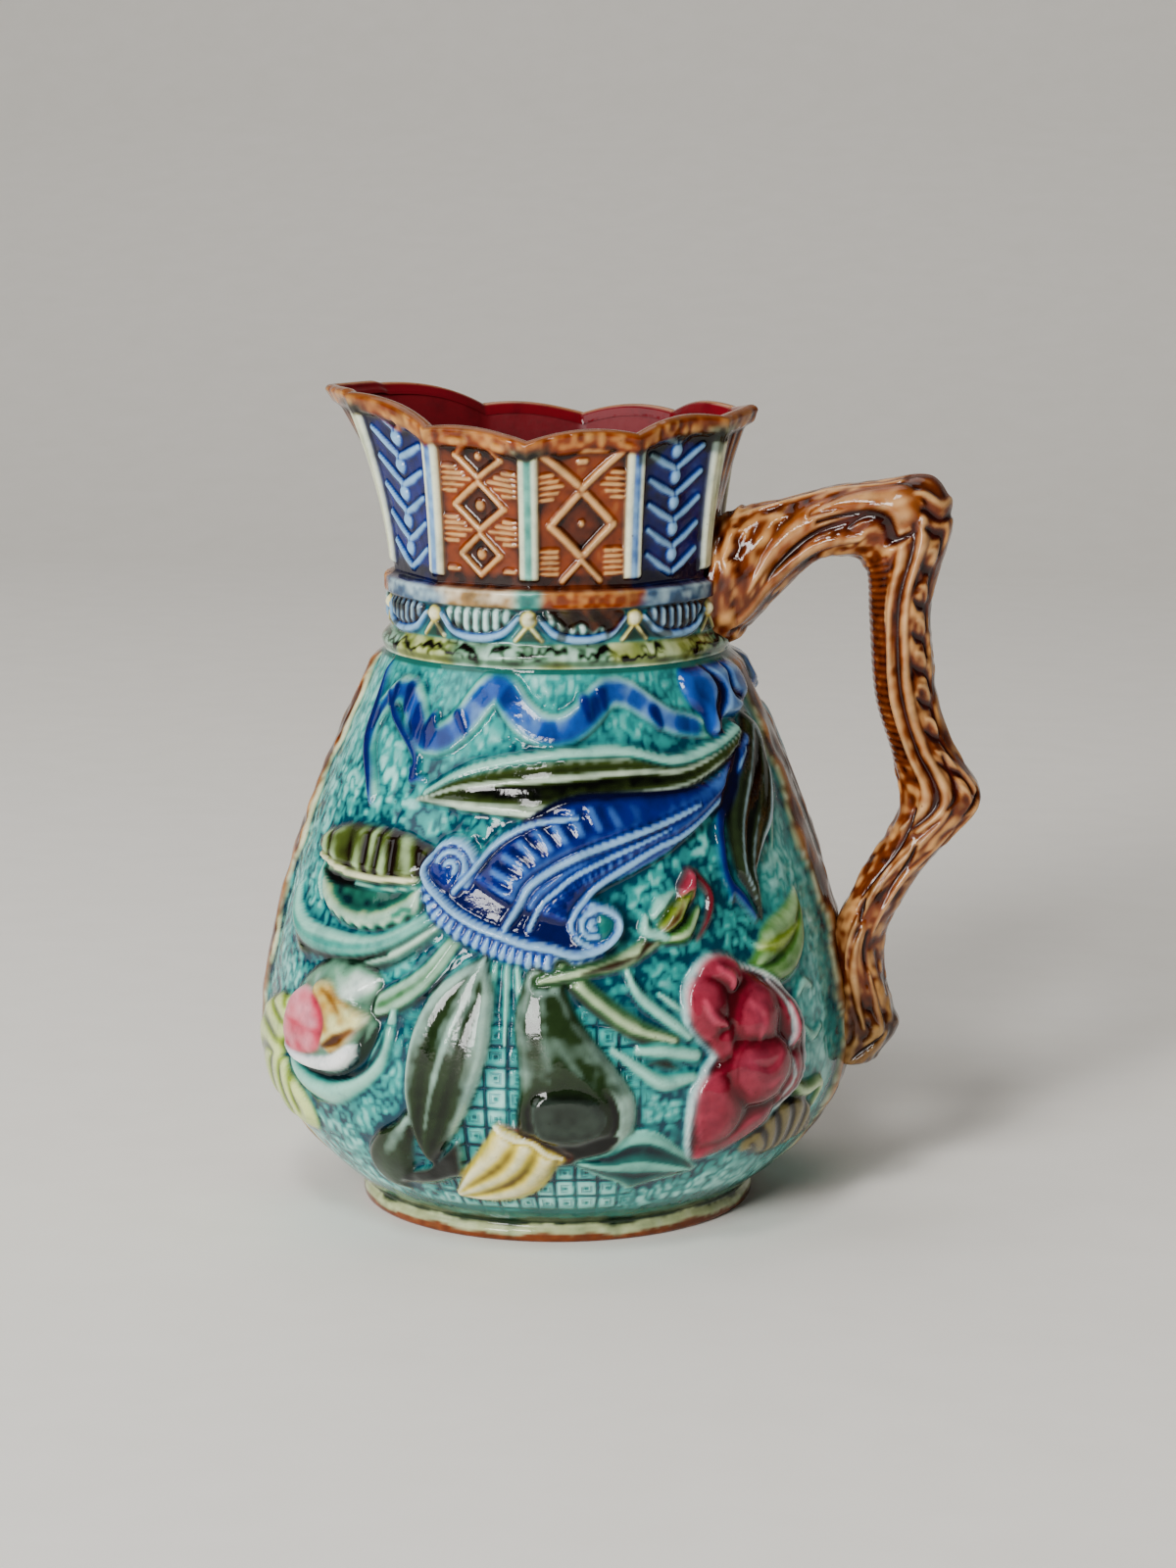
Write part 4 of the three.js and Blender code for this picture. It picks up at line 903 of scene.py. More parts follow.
def tile_marks(wires):
    """The small marks on the mosaic's tiles: a line round each, a ring open on one side, and a dot."""
    attribute = wires.tree.nodes.new("ShaderNodeAttribute")
    attribute.attribute_name = "pattern"
    split = wires.tree.nodes.new("ShaderNodeSeparateXYZ")
    wires.tree.links.new(attribute.outputs["Vector"], split.inputs[0])
    cell = [wires.math("DIVIDE", split.outputs[k], TILE) for k in range(2)]
    x, y = (wires.math("SUBTRACT", wires.math("FRACT", c), 0.5) for c in cell)
    corner = wires.tree.nodes.new("ShaderNodeCombineXYZ")
    for k in range(2):
        wires.tree.links.new(wires.math("FLOOR", cell[k]), corner.inputs[k])
    angle = wires.math("MULTIPLY", wires.node("ShaderNodeTexWhiteNoise", Vector=corner.outputs[0]),
                       2 * math.pi)
    square = wires.math("MAXIMUM", wires.math("ABSOLUTE", x), wires.math("ABSOLUTE", y))
    facing = wires.math("ADD", wires.math("MULTIPLY", x, wires.math("COSINE", angle)),
                        wires.math("MULTIPLY", y, wires.math("SINE", angle)))
    ring = wires.math("MULTIPLY", wires.range(square, 0.15, 0.19), wires.range(square, 0.29, 0.25))
    ring = wires.math("MULTIPLY", ring, wires.range(facing, 0.2, 0.02))
    marks = wires.math("MAXIMUM", wires.range(square, 0.42, 0.47),
                       wires.math("MAXIMUM", ring, wires.range(square, 0.09, 0.05)))
    return wires.math("MULTIPLY", marks, split.outputs[2])


def glazed(name, gloss=(0.04, 0.12)):
    """Lead glaze over earthenware: glossy and a little uneven, mottled, with fine specks and pinholes.
    gloss is its least and greatest roughness."""
    material = bpy.data.materials.new(name)
    material.use_nodes = True
    tree = material.node_tree
    shader = tree.nodes["Principled BSDF"]
    wires = Wires(tree)
    laid = wires.node("ShaderNodeAttribute", settings={"attribute_name": "glaze"})
    place = wires.node("ShaderNodeTexCoord", out=3)
    drift = wires.node("ShaderNodeTexNoise", Vector=place, Scale=160.0, Detail=4.0, Roughness=0.6)
    fine = wires.node("ShaderNodeTexNoise", Vector=place, Scale=900.0, Detail=2.0)
    tint = wires.mix(wires.range(drift, 0.42, 0.72, 0.0, 0.55), laid,
                     wires.mix(1.0, laid, (0.42, 0.5, 0.55, 1), "MULTIPLY"))
    tint = wires.mix(wires.range(fine, 0.52, 0.8, 0.0, 0.22), tint,
                     wires.mix(1.0, tint, (0.4, 0.4, 0.4, 1), "MULTIPLY"))
    marks = tile_marks(wires)
    tint = wires.mix(wires.math("MULTIPLY", marks, wires.range(drift, 0.3, 0.6, 0.35, 0.8)), tint,
                     wires.mix(1.0, tint, (0.2, 0.42, 0.5, 1), "MULTIPLY"))
    spots = wires.node("ShaderNodeTexVoronoi", Vector=place, Scale=420.0)
    rare = wires.range(wires.node("ShaderNodeTexNoise", Vector=place, Scale=60.0), 0.55, 0.68)
    spot = wires.math("MULTIPLY", wires.range(spots, 0.16, 0.07), rare)
    tint = wires.mix(wires.math("MULTIPLY", spot, 0.5), tint, (*colour("2c1a0c"), 1))
    wires.feed(shader.inputs["Base Color"], tint)
    wires.feed(shader.inputs["Roughness"], wires.range(fine, 0.3, 0.8, *gloss))
    shader.inputs["IOR"].default_value = 1.4
    relief = tree.nodes.new("ShaderNodeBump")
    relief.inputs["Strength"].default_value = 0.9
    relief.inputs["Distance"].default_value = 0.0005
    uneven, sunk = wires.math("MULTIPLY", drift, 0.35), wires.math("MULTIPLY", marks, 0.5)
    wires.feed(relief.inputs["Height"], wires.math("SUBTRACT", uneven, sunk))
    tree.links.new(relief.outputs[0], shader.inputs["Normal"])
    return material


# The round body's axis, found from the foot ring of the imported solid.
foot = np.array([v.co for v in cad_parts["pitcher"].data.vertices if v.co.z < 0.0005])
axis_x = float(foot[:, 0].min() + foot[:, 0].max()) / 2


def bowl_half(name, theta, plainer):
    """One half of the bowl, as it came out of its half of the mould, with its rows from the foot up."""
    rise = np.linspace(WAIST_HEIGHT, SHOULDER_HEIGHT + 1.5, 400)
    foot_path = [(FOOT_RING_INSIDE, 0), (FOOT_RADIUS - 0.8, 0), (FOOT_RADIUS - 0.2, 0.25),
                 (FOOT_RADIUS, 0.9), (FOOT_RADIUS, FOOT_HEIGHT - 0.5), (FOOT_RADIUS - 0.4, FOOT_HEIGHT),
                 (WAIST_RADIUS, FOOT_HEIGHT + 0.5)]
    profile = np.vstack([foot_path, np.column_stack([body_radius(rise), rise])])
    walked = np.concatenate([[0], np.cumsum(np.hypot(*np.diff(profile, axis=0).T))])
    stations = np.concatenate([[0, 4.5], np.linspace(5.2, walked[-1], BODY_ROWS - 2)])
    radius, level = (np.interp(stations, walked, profile[:, k])[:, None] for k in (0, 1))
    size = (BODY_ROWS, len(theta))
    skin = Skin(np.broadcast_to(90 - np.abs(theta), size), np.broadcast_to(level, size), TURQUOISE)
    draw_ground(skin)
    draw_face(skin, plainer)
    for side in (1, -1):
        bark_band(skin, side)
    u = skin.across * np.radians(body_radius(skin.up) * 0.5 + 30)
    skin.tone += 0.15 * noise(u, skin.up, 1.5, 88) + 0.12 * noise(u, skin.up, 5, 89)
    skin.height *= smooth((skin.up - WAIST_HEIGHT) / 5) * smooth((SHOULDER_HEIGHT - skin.up) / 3)
    skin.pool()
    # The foot: dark green in the groove, a cream line, and an unglazed brown edge.
    angle = np.radians(skin.across)
    wobble = 0.35 * np.sin(angle * 9) + 0.25 * np.sin(angle * 23)
    wobble = wobble + 0.2 * noise(skin.across, skin.up, 1.5, 61)
    for top, laid, tone, soft in (
        (10, TEAL, -0.1, 3),
        (6.2, glaze("0a1c10", "2c4c30", "8fae84"), -0.5, 1.2),
        (3.9, CREAM, 0.0, 0.8),
        (2.0, glaze("1c0c04", "8a4c20", "b87c4c"), 0.0, 0.8),
    ):
        skin.stain(smooth((top + wobble - skin.up) / soft + 0.5), laid, tone)
    skin.stain(smooth((skin.up - SHOULDER_HEIGHT + 1.4) / 0.8), glaze("0c1a14", "2c7a70", "a8c8a8"), -0.15)
    skin.tone += 0.3 * noise(skin.across, skin.up * 1.6, 2.2, 62) * (skin.up < 7)

    reach = radius + skin.height.reshape(size)
    turn = np.radians(theta)[None]
    points = np.stack([reach * np.cos(turn), reach * np.sin(turn), np.broadcast_to(level, size)], -1)
    pattern = np.column_stack([u, skin.up, skin.bare])
    half = mesh_from_grid(name, points, False, {"glaze": with_alpha(skin.colours()), "pattern": pattern})
    half.data.materials.append(glazed("majolica_" + name))


face_columns = np.concatenate([np.linspace(0, 16, 14, endpoint=False),
                               np.linspace(16, 164, 350, endpoint=False), np.linspace(164, 180, 14)])
bowl_half("bowl_front", face_columns - 180, plainer=False)
bowl_half("bowl_back", np.linspace(0, 180, 330), plainer=True)

# The collar and neck: cast with the body. Two mouldings with swags between them, and ten panels between
# cream pilasters, each with a blue feather or a brown lattice, under a caramel rim.
NECK_RADIUS = 38.2
LOWER_RING_HEIGHT = 135
LOWER_RING_RISE = 1.3
UPPER_RING_BOTTOM = 145.8
UPPER_RING_TOP = 149.6
UPPER_RING_RISE = 1.3
SWAG_BAND_RADIUS = 39
NECK_BOTTOM = 150.1
RIM_HEIGHT = 183.6
NECK_LEVELS = 36  # the neck's height on its drawing, whatever its real height there
PANEL = 36  # degrees
PILASTER_HALF_WIDTH = 2.1
PILASTER_RISE = 1.3
RIM_BAND_HEIGHT = 4.6
RIM_BAND_RISE = 1.4
LIP_WALL = 2.6
NECK_WALL = 3.6
LIP_ROUND = 1.3
SPOUT_RISE = 9.2
SPOUT_REACH = 13.6
BACK_LIP_RISE = 5.6
BACK_LIP_REACH = 7.2
SCALLOP_RISE = 2
RIM_FLARE = 2.8
FACETING = 0.8  # 1 would be flat panels
NECK_MM_PER_DEGREE = 0.667
DRAWN_MM_PER_DEGREE = 0.7  # on the neck's drawing
CARAMEL = glaze("3c1606", "9c5e2c", "d8b080")
SLATE_BLUE = glaze("2a1c14", "54718e", "b4ccd4")
TAN = glaze("4a2a10", "a88a5c", "e8dcc4")
SHELL = glaze("141a0c", "5f8f86", "cfe8e4")
RING_CREAM = glaze("140a03", "6f9478", "cfecdc")
CRIMSON_LINING = colour("8a1c2c")


def collar_radius(z):
    """The radius between shoulder and neck at a height, with its two mouldings."""
    fall = smooth((z - SHOULDER_HEIGHT) / 6)
    lower = LOWER_RING_RISE * smooth(1 - np.abs(z - LOWER_RING_HEIGHT) / 3)
    upper = UPPER_RING_RISE * smooth((z - UPPER_RING_BOTTOM) / 0.5 + 0.5)
    upper = upper * smooth((UPPER_RING_TOP - z) / 0.6 + 0.5)
    return SHOULDER_RADIUS + (SWAG_BAND_RADIUS - SHOULDER_RADIUS) * fall + lower + upper


def rim_height(theta):
    """How high the rim stands: scalloped, and drawn up at the spout and at the lip over the handle."""
    away = np.abs(theta)
    across = np.mod(theta - PANEL / 2, PANEL) / PANEL
    scallop = np.where((away > 162) | (away < 18), 0, SCALLOP_RISE * (1 - (2 * across - 1) ** 2))
    spout = SPOUT_RISE * np.clip((away - 95) / 70, 0, 1) ** 1.6
    return RIM_HEIGHT + spout + BACK_LIP_RISE * np.clip((90 - away) / 90, 0, 1) ** 1.5 + scallop


def neck_radius(theta, share):
    """The neck's radius at a share of its height: ten panels that flare to the rim, spout and back lip."""
    spout = np.clip(1 - (180 - np.abs(theta)) / 55, 0, 1) ** 1.5
    lip = np.clip(1 - np.abs(theta) / 30, 0, 1) ** 1.3
    overhang = RIM_FLARE + SPOUT_REACH * spout + BACK_LIP_REACH * lip
    from_middle = np.mod(theta - PANEL / 2, PANEL) - PANEL / 2
    flat = np.cos(np.radians(PANEL / 2)) / np.cos(np.radians(from_middle))
    return (NECK_RADIUS + overhang * share**1.6) * (1 + (flat - 1) * FACETING * (1 - spout * share))


def all_round(bands, columns):
    """Bands of rings joined into one grid. One that is the same all round is spread over every column."""
    return np.concatenate([np.broadcast_to(band, (len(band), columns)) for band in bands])


def feather(skin, middle):
    """Five chevrons that open upwards, with a bead over the point of each."""
    for k in range(6):
        level = 2.5 + 5.6 * k
        for side in (-1, 1):
            skin.line([(middle + side * 0.8, level), (middle + side * 6, level + 1.7),
                       (middle + side * 12, level + 4.4)], [1.6, 1.9, 1.3], SKY, ridge(0.9, 0.7))
        if k < 5:
            skin.patch(ring_round((middle, level + 3.8), 2.7, 1.9), SKY,
                       lambda inside, x, y: (domed(inside, 1.2, 1.2), 0.55 + 0.3 * smooth(inside)))


def dashes(skin, middle, levels, near, far):
    """A short stroke on each side of a lattice's middle, at each level."""
    for side in (-1, 1):
        for level in levels:
            skin.line([(middle + side * near, level), (middle + side * far, level + 0.2)], [0.8, 1.1, 0.8],
                      CARAMEL, ridge(0.7, 0.7))


def diamond(skin, middle, level, half_degrees, half_height, width, bead=1.2):
    """A diamond of four raised strips round a sunk dark ground, with a bead in it."""
    corners = [(middle - half_degrees, level), (middle, level + half_height),
               (middle + half_degrees, level), (middle, level - half_height),
               (middle - half_degrees, level)]
    skin.patch(corners[:4], BROWN, lambda inside, x, y: (
        -0.35 * smooth(inside / 1.2), 0.2 - 0.4 * smooth(inside / 2)), smooth_outline=False)
    for a, b in zip(corners[:-1], corners[1:]):
        skin.line([a, b], width, CARAMEL, ridge(1.0, 0.7))
    bead_across = bead / DRAWN_MM_PER_DEGREE
    skin.patch(ring_round((middle, level), bead_across, bead), CARAMEL,
               lambda inside, x, y: (domed(inside, 0.9, 1), 0.6 + 0.4 * smooth(inside)))


def cross(skin, middle, level, rise, half_degrees, width):
    """Two raised strips that part from a middle."""
    for side in (-1, 1):
        skin.line([(middle, level), (middle + side * half_degrees, level + rise)], width, CARAMEL,
                  ridge(1.0, 0.7))


def draw_panels(skin, panel, blotch):
    """The panels' grounds, with their feathers and lattices. Those at the spout and handle are streaked."""
    for k, ground in enumerate((BROWN, COBALT, AMBER, AMBER, COBALT, BROWN)):
        skin.laid[panel == k] = ground
    skin.tone[:] = np.where((panel == 1) | (panel == 4), -0.1, 0.1) + 0.35 * blotch
    # Darker along the panels' foot: glaze pooled where the panel meets the moulding, and painted shade in
    # that corner.
    skin.tone -= 0.9 * smooth((4.4 - skin.up) / 2.4)
    skin.bare[:] = 0
    for middle in (-54, 54):
        feather(skin, middle)
    # The narrower lattice: a chain of diamonds.
    diamond(skin, -18, 29.5, 8.6, 4.9, 1.5, 0.9)
    diamond(skin, -18, 18.3, 9.4, 5.4, 1.6)
    diamond(skin, -18, 7.3, 7.6, 4.6, 1.5)
    for gap in (24.0, 12.7):
        for k in (-2, -1, 0, 1, 2):
            dashes(skin, -18, (gap + 1.3 * k,), 3.4 + 2.7 * abs(k), 13.8)
    dashes(skin, -18, (3.6,), 9, 13)
    # The wider one: a great diamond under a cross.
    diamond(skin, 18, 14.6, 10.8, 7.6, 2.0, 0.7)
    cross(skin, 18, 22.6, 8.6, 13, 1.9)
    cross(skin, 18, 6.4, -4.6, 6.6, 1.5)
    skin.line([(10, 31.2), (26, 31.2)], 1.4, CARAMEL, ridge(0.9, 0.6))
    skin.line([(16.8, 28.8), (19.2, 28.8)], 1.4, CARAMEL, ridge(0.8, 0.8))
    for k in (-2, -1, 0, 1, 2):
        dashes(skin, 18, (23.6 + 1.4 * k,), 6.6 + 1.6 * abs(k), 14.2)
    dashes(skin, 18, (8.6, 7.3, 6.0, 4.7, 3.4), 8.2, 14.2)
    ends = np.flatnonzero((panel == 0) | (panel == 5))
    leaning = skin.across[ends] * 1.35 + 0.4 * np.sin(skin.up[ends] * 0.35)
    streak = np.sin(leaning) * np.cos(skin.up[ends] * 0.1)
    skin.height[ends] += 0.25 * streak
    skin.tone[ends] += 0.3 * streak


def draw_pilasters(skin, blotch):
    """The pilasters, cream at their edges, with a glaze down the middle."""
    off = np.abs(np.mod(skin.across + PANEL / 2, PANEL) - PANEL / 2) * NECK_MM_PER_DEGREE
    edge = smooth((PILASTER_HALF_WIDTH - off) / 0.5 + 0.5) * smooth((skin.up - 2.2) / 0.5 + 0.5)
    centre = smooth((0.9 - off) / 0.5 + 0.5)
    for place, middle in {-72: CREAM, -36: SKY, 0: TEAL, 36: SKY, 72: CREAM}.items():
        on = np.abs(skin.across - place) < PANEL / 2
        skin.stain(edge * on, CREAM + (centre * on)[:, None, None] * (middle - CREAM))
    skin.stain(edge, tone=0.8 - 0.35 * centre + 0.3 * blotch, height=PILASTER_RISE - 0.25 * centre)


def draw_rim_band(skin, panel, u, plainer):
    """The caramel band under the rim, green over every other pilaster, which ran down here and there."""
    depth, on_neck = skin.depth, skin.up >= 0
    cloud, crumb = noise(u, depth, 4.5, 71), noise(u, depth * 0.8, 1.5, 72)
    skin.stain(smooth(RIM_BAND_HEIGHT - depth + 0.5) * on_neck, height=RIM_BAND_RISE + 0.2 * crumb)
    band = smooth(RIM_BAND_HEIGHT + 0.9 + 1.6 * cloud - depth + 0.5) * on_neck
    under = smooth((depth - RIM_BAND_HEIGHT + 1.2) / 0.8)
    tone = 0.2 + 0.6 * cloud + 0.55 * crumb + 0.25 * smooth((1.2 - depth) / 0.8) - 0.9 * under
    skin.stain(band, AMBER, tone)
    from_pilaster = np.abs(np.mod(skin.across + PANEL, 2 * PANEL) - PANEL)
    green = band * smooth(1.4 - from_pilaster / 7) * smooth((depth - 1.5) / 2)
    skin.stain(0.8 * green, glaze("101c14", "3f5a48", "9fb49a"))
    skin.tone -= 0.35 * green
    if not plainer:
        turn = np.radians(skin.across)
        low_edge = 6.5 + 1.2 * np.sin(turn * 11) + 0.7 * np.sin(turn * 27)
        run = smooth(1 - (depth - low_edge) / 1.5) * smooth(depth - 3.6) * (panel == 4)
        skin.stain(0.85 * run, glaze("0c1410", "2c3f36", "7c9088"))


def draw_upper_moulding(skin, u):
    """The upper moulding takes the colour of the panel over it."""
    ring = smooth((skin.up + 4.6) / 0.4 + 0.5) * smooth((-0.3 - skin.up) / 0.4 + 0.5)
    wandering = (skin.across + 90) / PANEL + 0.22 * noise(u, skin.up, 3, 90)
    for k, laid in enumerate((AMBER, SLATE_BLUE, TAN, AMBER, SLATE_BLUE, AMBER)):
        skin.stain(ring * smooth((wandering - k + 0.5) / 0.2 + 0.5), laid)
    skin.stain(ring * smooth(1.6 - np.abs(skin.across) / 4), TEAL)
    cloud, crumb = noise(u, skin.up * 1.6, 3.6, 73), noise(u, skin.up, 1.2, 74)
    skin.stain(ring, tone=0.3 + 0.55 * cloud + 0.35 * crumb + 0.5 * smooth((skin.up + 1.4) / 0.6))


def draw_swags(skin, u, plainer):
    """The band of swags: fluted shells between buttons, each with a pale blue hem, under a dark line."""
    below = smooth((-4.5 - skin.up) / 0.4 + 0.5)
    skin.stain(below, TURQUOISE, -0.25 - 0.7 * smooth((skin.up + 5.6) / 0.8), 0)
    for middle in (-90, -54, -18, 18, 54, 90):
        shell = [(middle - 12.5, -4.8), (middle - 11.5, -7.4), (middle - 7.5, -9.6), (middle, -10.4),
                 (middle + 7.5, -9.6), (middle + 11.5, -7.4), (middle + 12.5, -4.8), (middle, -4.4)]

        def flutes(inside, x, y, tone=-0.4 if middle in (-54, 54) else 0.05):
            wave = np.cos(2 * np.pi * x / 2.5)
            return domed(inside, 1.0, 1.5) + 0.35 * wave * smooth(inside), tone + 0.65 * wave

        skin.patch(shell, SLATE_BLUE if middle in (-54, 54) else SHELL, flutes)
        skin.line([(middle - 14.5, -6.6), (middle - 9, -10.2), (middle, -11.4), (middle + 9, -10.2),
                   (middle + 14.5, -6.6)], [1.2, 2.0, 2.2, 2.0, 1.2], SKY, ridge(1.3, 0.6))
    for place in (-72, -36, 0, 36, 72):
        skin.patch([(place - 5, -12.1), (place, -9.2), (place + 5, -12.1)],
                   glaze("062a22", "14594a", "4d9c84"), lambda inside, x, y: (0.2, -0.3),
                   smooth_outline=False)
        for side in (-1, 1):
            skin.line([(place, -8), (place + 4.5 * side, -11.6)], [1.0, 0.8], LEMON, ridge(0.9, 0.1))
        skin.patch(ring_round((place, -6.8), 2.9, 2.0), LEMON,
                   lambda inside, x, y: (domed(inside, 1.5, 1.8), 0.2 + 0.5 * smooth(inside / 1.5)))
    if not plainer:
        spill = [(7, -4.4), (31, -4.4), (30, -8.4), (26.5, -10), (24, -8.6), (21, -9.8), (17.5, -7.8),
                 (13, -8.8), (9, -6.4)]
        skin.patch(spill, glaze("140903", "3c1c0a", "7c4a22"),
                   lambda inside, x, y: (0.6 + 0.1 * np.sin(x), -0.1 + 0.3 * np.sin(1.3 * x + y)), soft=0.8)
        ran = smooth(noise(u, skin.up * 1.2, 2.6, 84) * 3 - 0.5) * below * smooth((skin.up + 12.2) / 0.8)
        skin.stain(0.8 * ran, glaze("120a03", "2c1c08", "5c5a2c"))


def draw_lower_moulding(skin, u):
    """The lower moulding: cream over yellow-green, crazed with dark brown."""
    low = smooth((-12.3 - skin.up) / 0.5 + 0.5)
    skin.stain(low, RING_CREAM, height=0)
    crack = -14.6 + 1.3 * noise(u, 0, 2.6, 75) + 0.5 * noise(u, 0, 0.9, 76)
    dark = smooth(1.4 - np.abs(skin.up - crack) / (0.32 + 0.5 * smooth(noise(u, skin.up, 2.2, 77) * 2)))
    web = np.exp(-((noise(u, skin.up * 1.2, 2.1, 80) / 0.09) ** 2)) * smooth((skin.up + 16.6) / 0.8)
    dark = np.maximum(dark, 0.8 * web * smooth(noise(u, skin.up, 6, 83) * 2 + 0.8))
    skin.stain(low * smooth(noise(u, skin.up, 7, 78) * 2 - 0.1), glaze("140a03", "8f9a54", "e0e6b4"))
    # Painted shade over the moulding's lower half, and a painted highlight along its bottom edge.
    painted_shade_and_highlight = 0.9 * smooth((-17 - skin.up) / 0.6) - 0.75 * smooth((-15.6 - skin.up) / 0.8)
    skin.stain(low, tone=0.4 + painted_shade_and_highlight + 0.45 * noise(u, skin.up, 2.4, 85))
    skin.tone -= 1.7 * low * dark * smooth(noise(u, 0, 3.4, 79) * 2.4 + 1.6)


def draw_neck(skin, plainer):
    """Everything on one side of the neck and collar, from the panels down."""
    panel = np.rint((skin.across + 90) / PANEL).astype(int)
    u = DRAWN_MM_PER_DEGREE * skin.across
    blotch = noise(u, skin.up, 3.2, 69)
    draw_panels(skin, panel, blotch)
    draw_pilasters(skin, blotch)
    draw_rim_band(skin, panel, u, plainer)
    draw_upper_moulding(skin, u)
    draw_swags(skin, u, plainer)
    draw_lower_moulding(skin, u)
    skin.tone += 0.25 * noise(u, skin.up, 1.3, 87)


ROWS = (56, 88, 12, 3)  # of the collar, the neck, the lip and its inside
theta = np.concatenate([np.linspace(-180, 0, 370, endpoint=False),
                        np.linspace(0, 180, 220, endpoint=False)])
rim = rim_height(theta)[None]
top = rim - LIP_ROUND
columns = len(theta)
z = all_round([np.linspace(SHOULDER_HEIGHT + 0.3, NECK_BOTTOM, ROWS[0], endpoint=False)[:, None],
               NECK_BOTTOM + np.linspace(0, 1, ROWS[1])[:, None] * (top - NECK_BOTTOM)], columns)
share = np.clip((z - NECK_BOTTOM) / (rim - NECK_BOTTOM), 0, 1)
onto_neck = smooth((z - NECK_BOTTOM) / 0.6 + 0.5)
radius = collar_radius(z) * (1 - onto_neck) + neck_radius(theta[None], share) * onto_neck
outside = Skin(np.broadcast_to(90 - np.abs(theta), z.shape),
               np.where(z < NECK_BOTTOM, z - NECK_BOTTOM, NECK_LEVELS * share), AMBER,
               mm_per_degree=DRAWN_MM_PER_DEGREE)
outside.depth = (rim - z).ravel()
front = np.broadcast_to(theta < 0, z.shape)
outside.each_face(front, draw_neck)
outside.pool()
radius = radius + outside.height.reshape(z.shape)
# Over the lip and a little way down inside.
bend = np.linspace(0, math.pi, ROWS[2] + 1)[1:, None]
outer, inner = radius[-1:], neck_radius(theta[None], 1) - LIP_WALL
lip_radius = (outer + inner) / 2 + (outer - inner) / 2 * np.cos(bend)
lip_z = top + LIP_ROUND * np.sin(bend)
down = np.linspace(0, 1.5, ROWS[3] + 1)[1:, None]
inside_share = (top - down - NECK_BOTTOM) / (rim - NECK_BOTTOM)
inside_radius = neck_radius(theta[None], inside_share) - NECK_WALL - (LIP_WALL - NECK_WALL) * inside_share
colours = outside.colours()
last = colours[-columns:]
lip_line, caramel = colour("c08e68"), colour("98602e")
over = []
for angle in bend[:, 0]:
    to_caramel, to_line = smooth((angle - 0.15) / 0.6), smooth((angle - 1.5) / 0.5)
    to_red = smooth((angle - 2.15) / 0.35)
    mixed = last + to_caramel * (caramel - last)
    mixed = mixed + to_line * (lip_line - mixed)
    over.append(mixed + to_red * (CRIMSON_LINING - mixed))
over += [np.repeat(CRIMSON_LINING[None], columns, 0)] * ROWS[3]
radius = np.concatenate([radius, lip_radius, inside_radius])
z = np.concatenate([z, lip_z, top - down])
turn = np.radians(theta)[None]
points = np.stack([radius * np.cos(turn), radius * np.sin(turn), z], -1)
neck = mesh_from_grid("neck", points, True, {"glaze": with_alpha(np.concatenate([colours, *over]))})
neck.data.materials.append(glazed("majolica_neck"))

# The lining: the inside of the casting, plain and without relief. Crimson glaze was poured in, swirled
# round and poured out again, so that it lies even from the lip down to the floor. Its colour is painted
# darker further down, as painted shade inside the vessel.
BODY_WALL = 4.5
FLOOR_HEIGHT = 8.2
FLOOR_ROUND = 6
theta = np.linspace(-180, 180, 168, endpoint=False)
rim = rim_height(theta)[None]
share = np.linspace(1 - 1 / 34, 0, 36)[:, None]
radius = [neck_radius(theta[None], share) - NECK_WALL - (LIP_WALL - NECK_WALL) * share + 0.05]
z = [NECK_BOTTOM + share * (rim - LIP_ROUND - NECK_BOTTOM)]
down = np.linspace(NECK_BOTTOM - 1.5, SHOULDER_HEIGHT - 6, 14)[:, None]
to_body = smooth((NECK_BOTTOM - down) / (NECK_BOTTOM - SHOULDER_HEIGHT))
radius.append(radius[0][-1:] * (1 - to_body) + (body_radius(down) - BODY_WALL) * to_body)
z.append(down)
down = np.linspace(SHOULDER_HEIGHT - 9, FLOOR_HEIGHT + FLOOR_ROUND, 34)[:, None]
radius.append(body_radius(down) - BODY_WALL)
z.append(down)
bend = np.linspace(0, math.pi / 2, 9)[1:, None]
corner = body_radius(np.array(FLOOR_HEIGHT + FLOOR_ROUND)) - BODY_WALL - FLOOR_ROUND
radius.append(corner + FLOOR_ROUND * np.cos(bend))
z.append(FLOOR_HEIGHT + FLOOR_ROUND * (1 - np.sin(bend)))
flat = np.linspace(corner, 0.05, 12)[1:, None]
radius.append(flat)
z.append(FLOOR_HEIGHT + 0.4 * smooth(1 - flat / corner))
radius, z = all_round(radius, len(theta)), all_round(z, len(theta))
turn = np.radians(theta)[None]
points = np.stack([radius * np.cos(turn), radius * np.sin(turn), z], -1)[::-1]
# The crimson is painted darker further down: painted shade inside the vessel.
tints = CRIMSON_LINING * (0.72 + 0.28 * smooth((points[..., 2].ravel() - 90) / 90))[:, None]
lining = mesh_from_grid("lining", points, True, {"glaze": with_alpha(tints)})
lining.data.flip_normals()
lining.data.materials.append(glazed("majolica_lining", gloss=(0.45, 0.55)))

# The underside: a shallow recess inside the foot ring, turned while the clay was damp. It has a thin wash
# of pale glaze, and stands clear of the table.
RECESS = 2.2
FOOT_PATH = [(FOOT_RING_INSIDE, 0), (FOOT_RING_INSIDE - 0.4, 0.5), (FOOT_RING_INSIDE - 1.1, 1.7),
             (FOOT_RING_INSIDE - 1.8, RECESS), (30, RECESS + 0.1), (15, RECESS + 0.2), (0.05, RECESS + 0.2)]
under = np.array(FOOT_PATH)
level = np.broadcast_to(under[:, 1:], (len(under), len(theta)))
points = np.stack([under[:, :1] * np.cos(turn), under[:, :1] * np.sin(turn), level], -1)
tints = np.repeat(colour("cfc9a4")[None], points.shape[0] * points.shape[1], 0)
underside = mesh_from_grid("underside", points, True, {"glaze": with_alpha(tints)})
underside.data.flip_normals()
underside.data.materials.append(glazed("majolica_underside"))

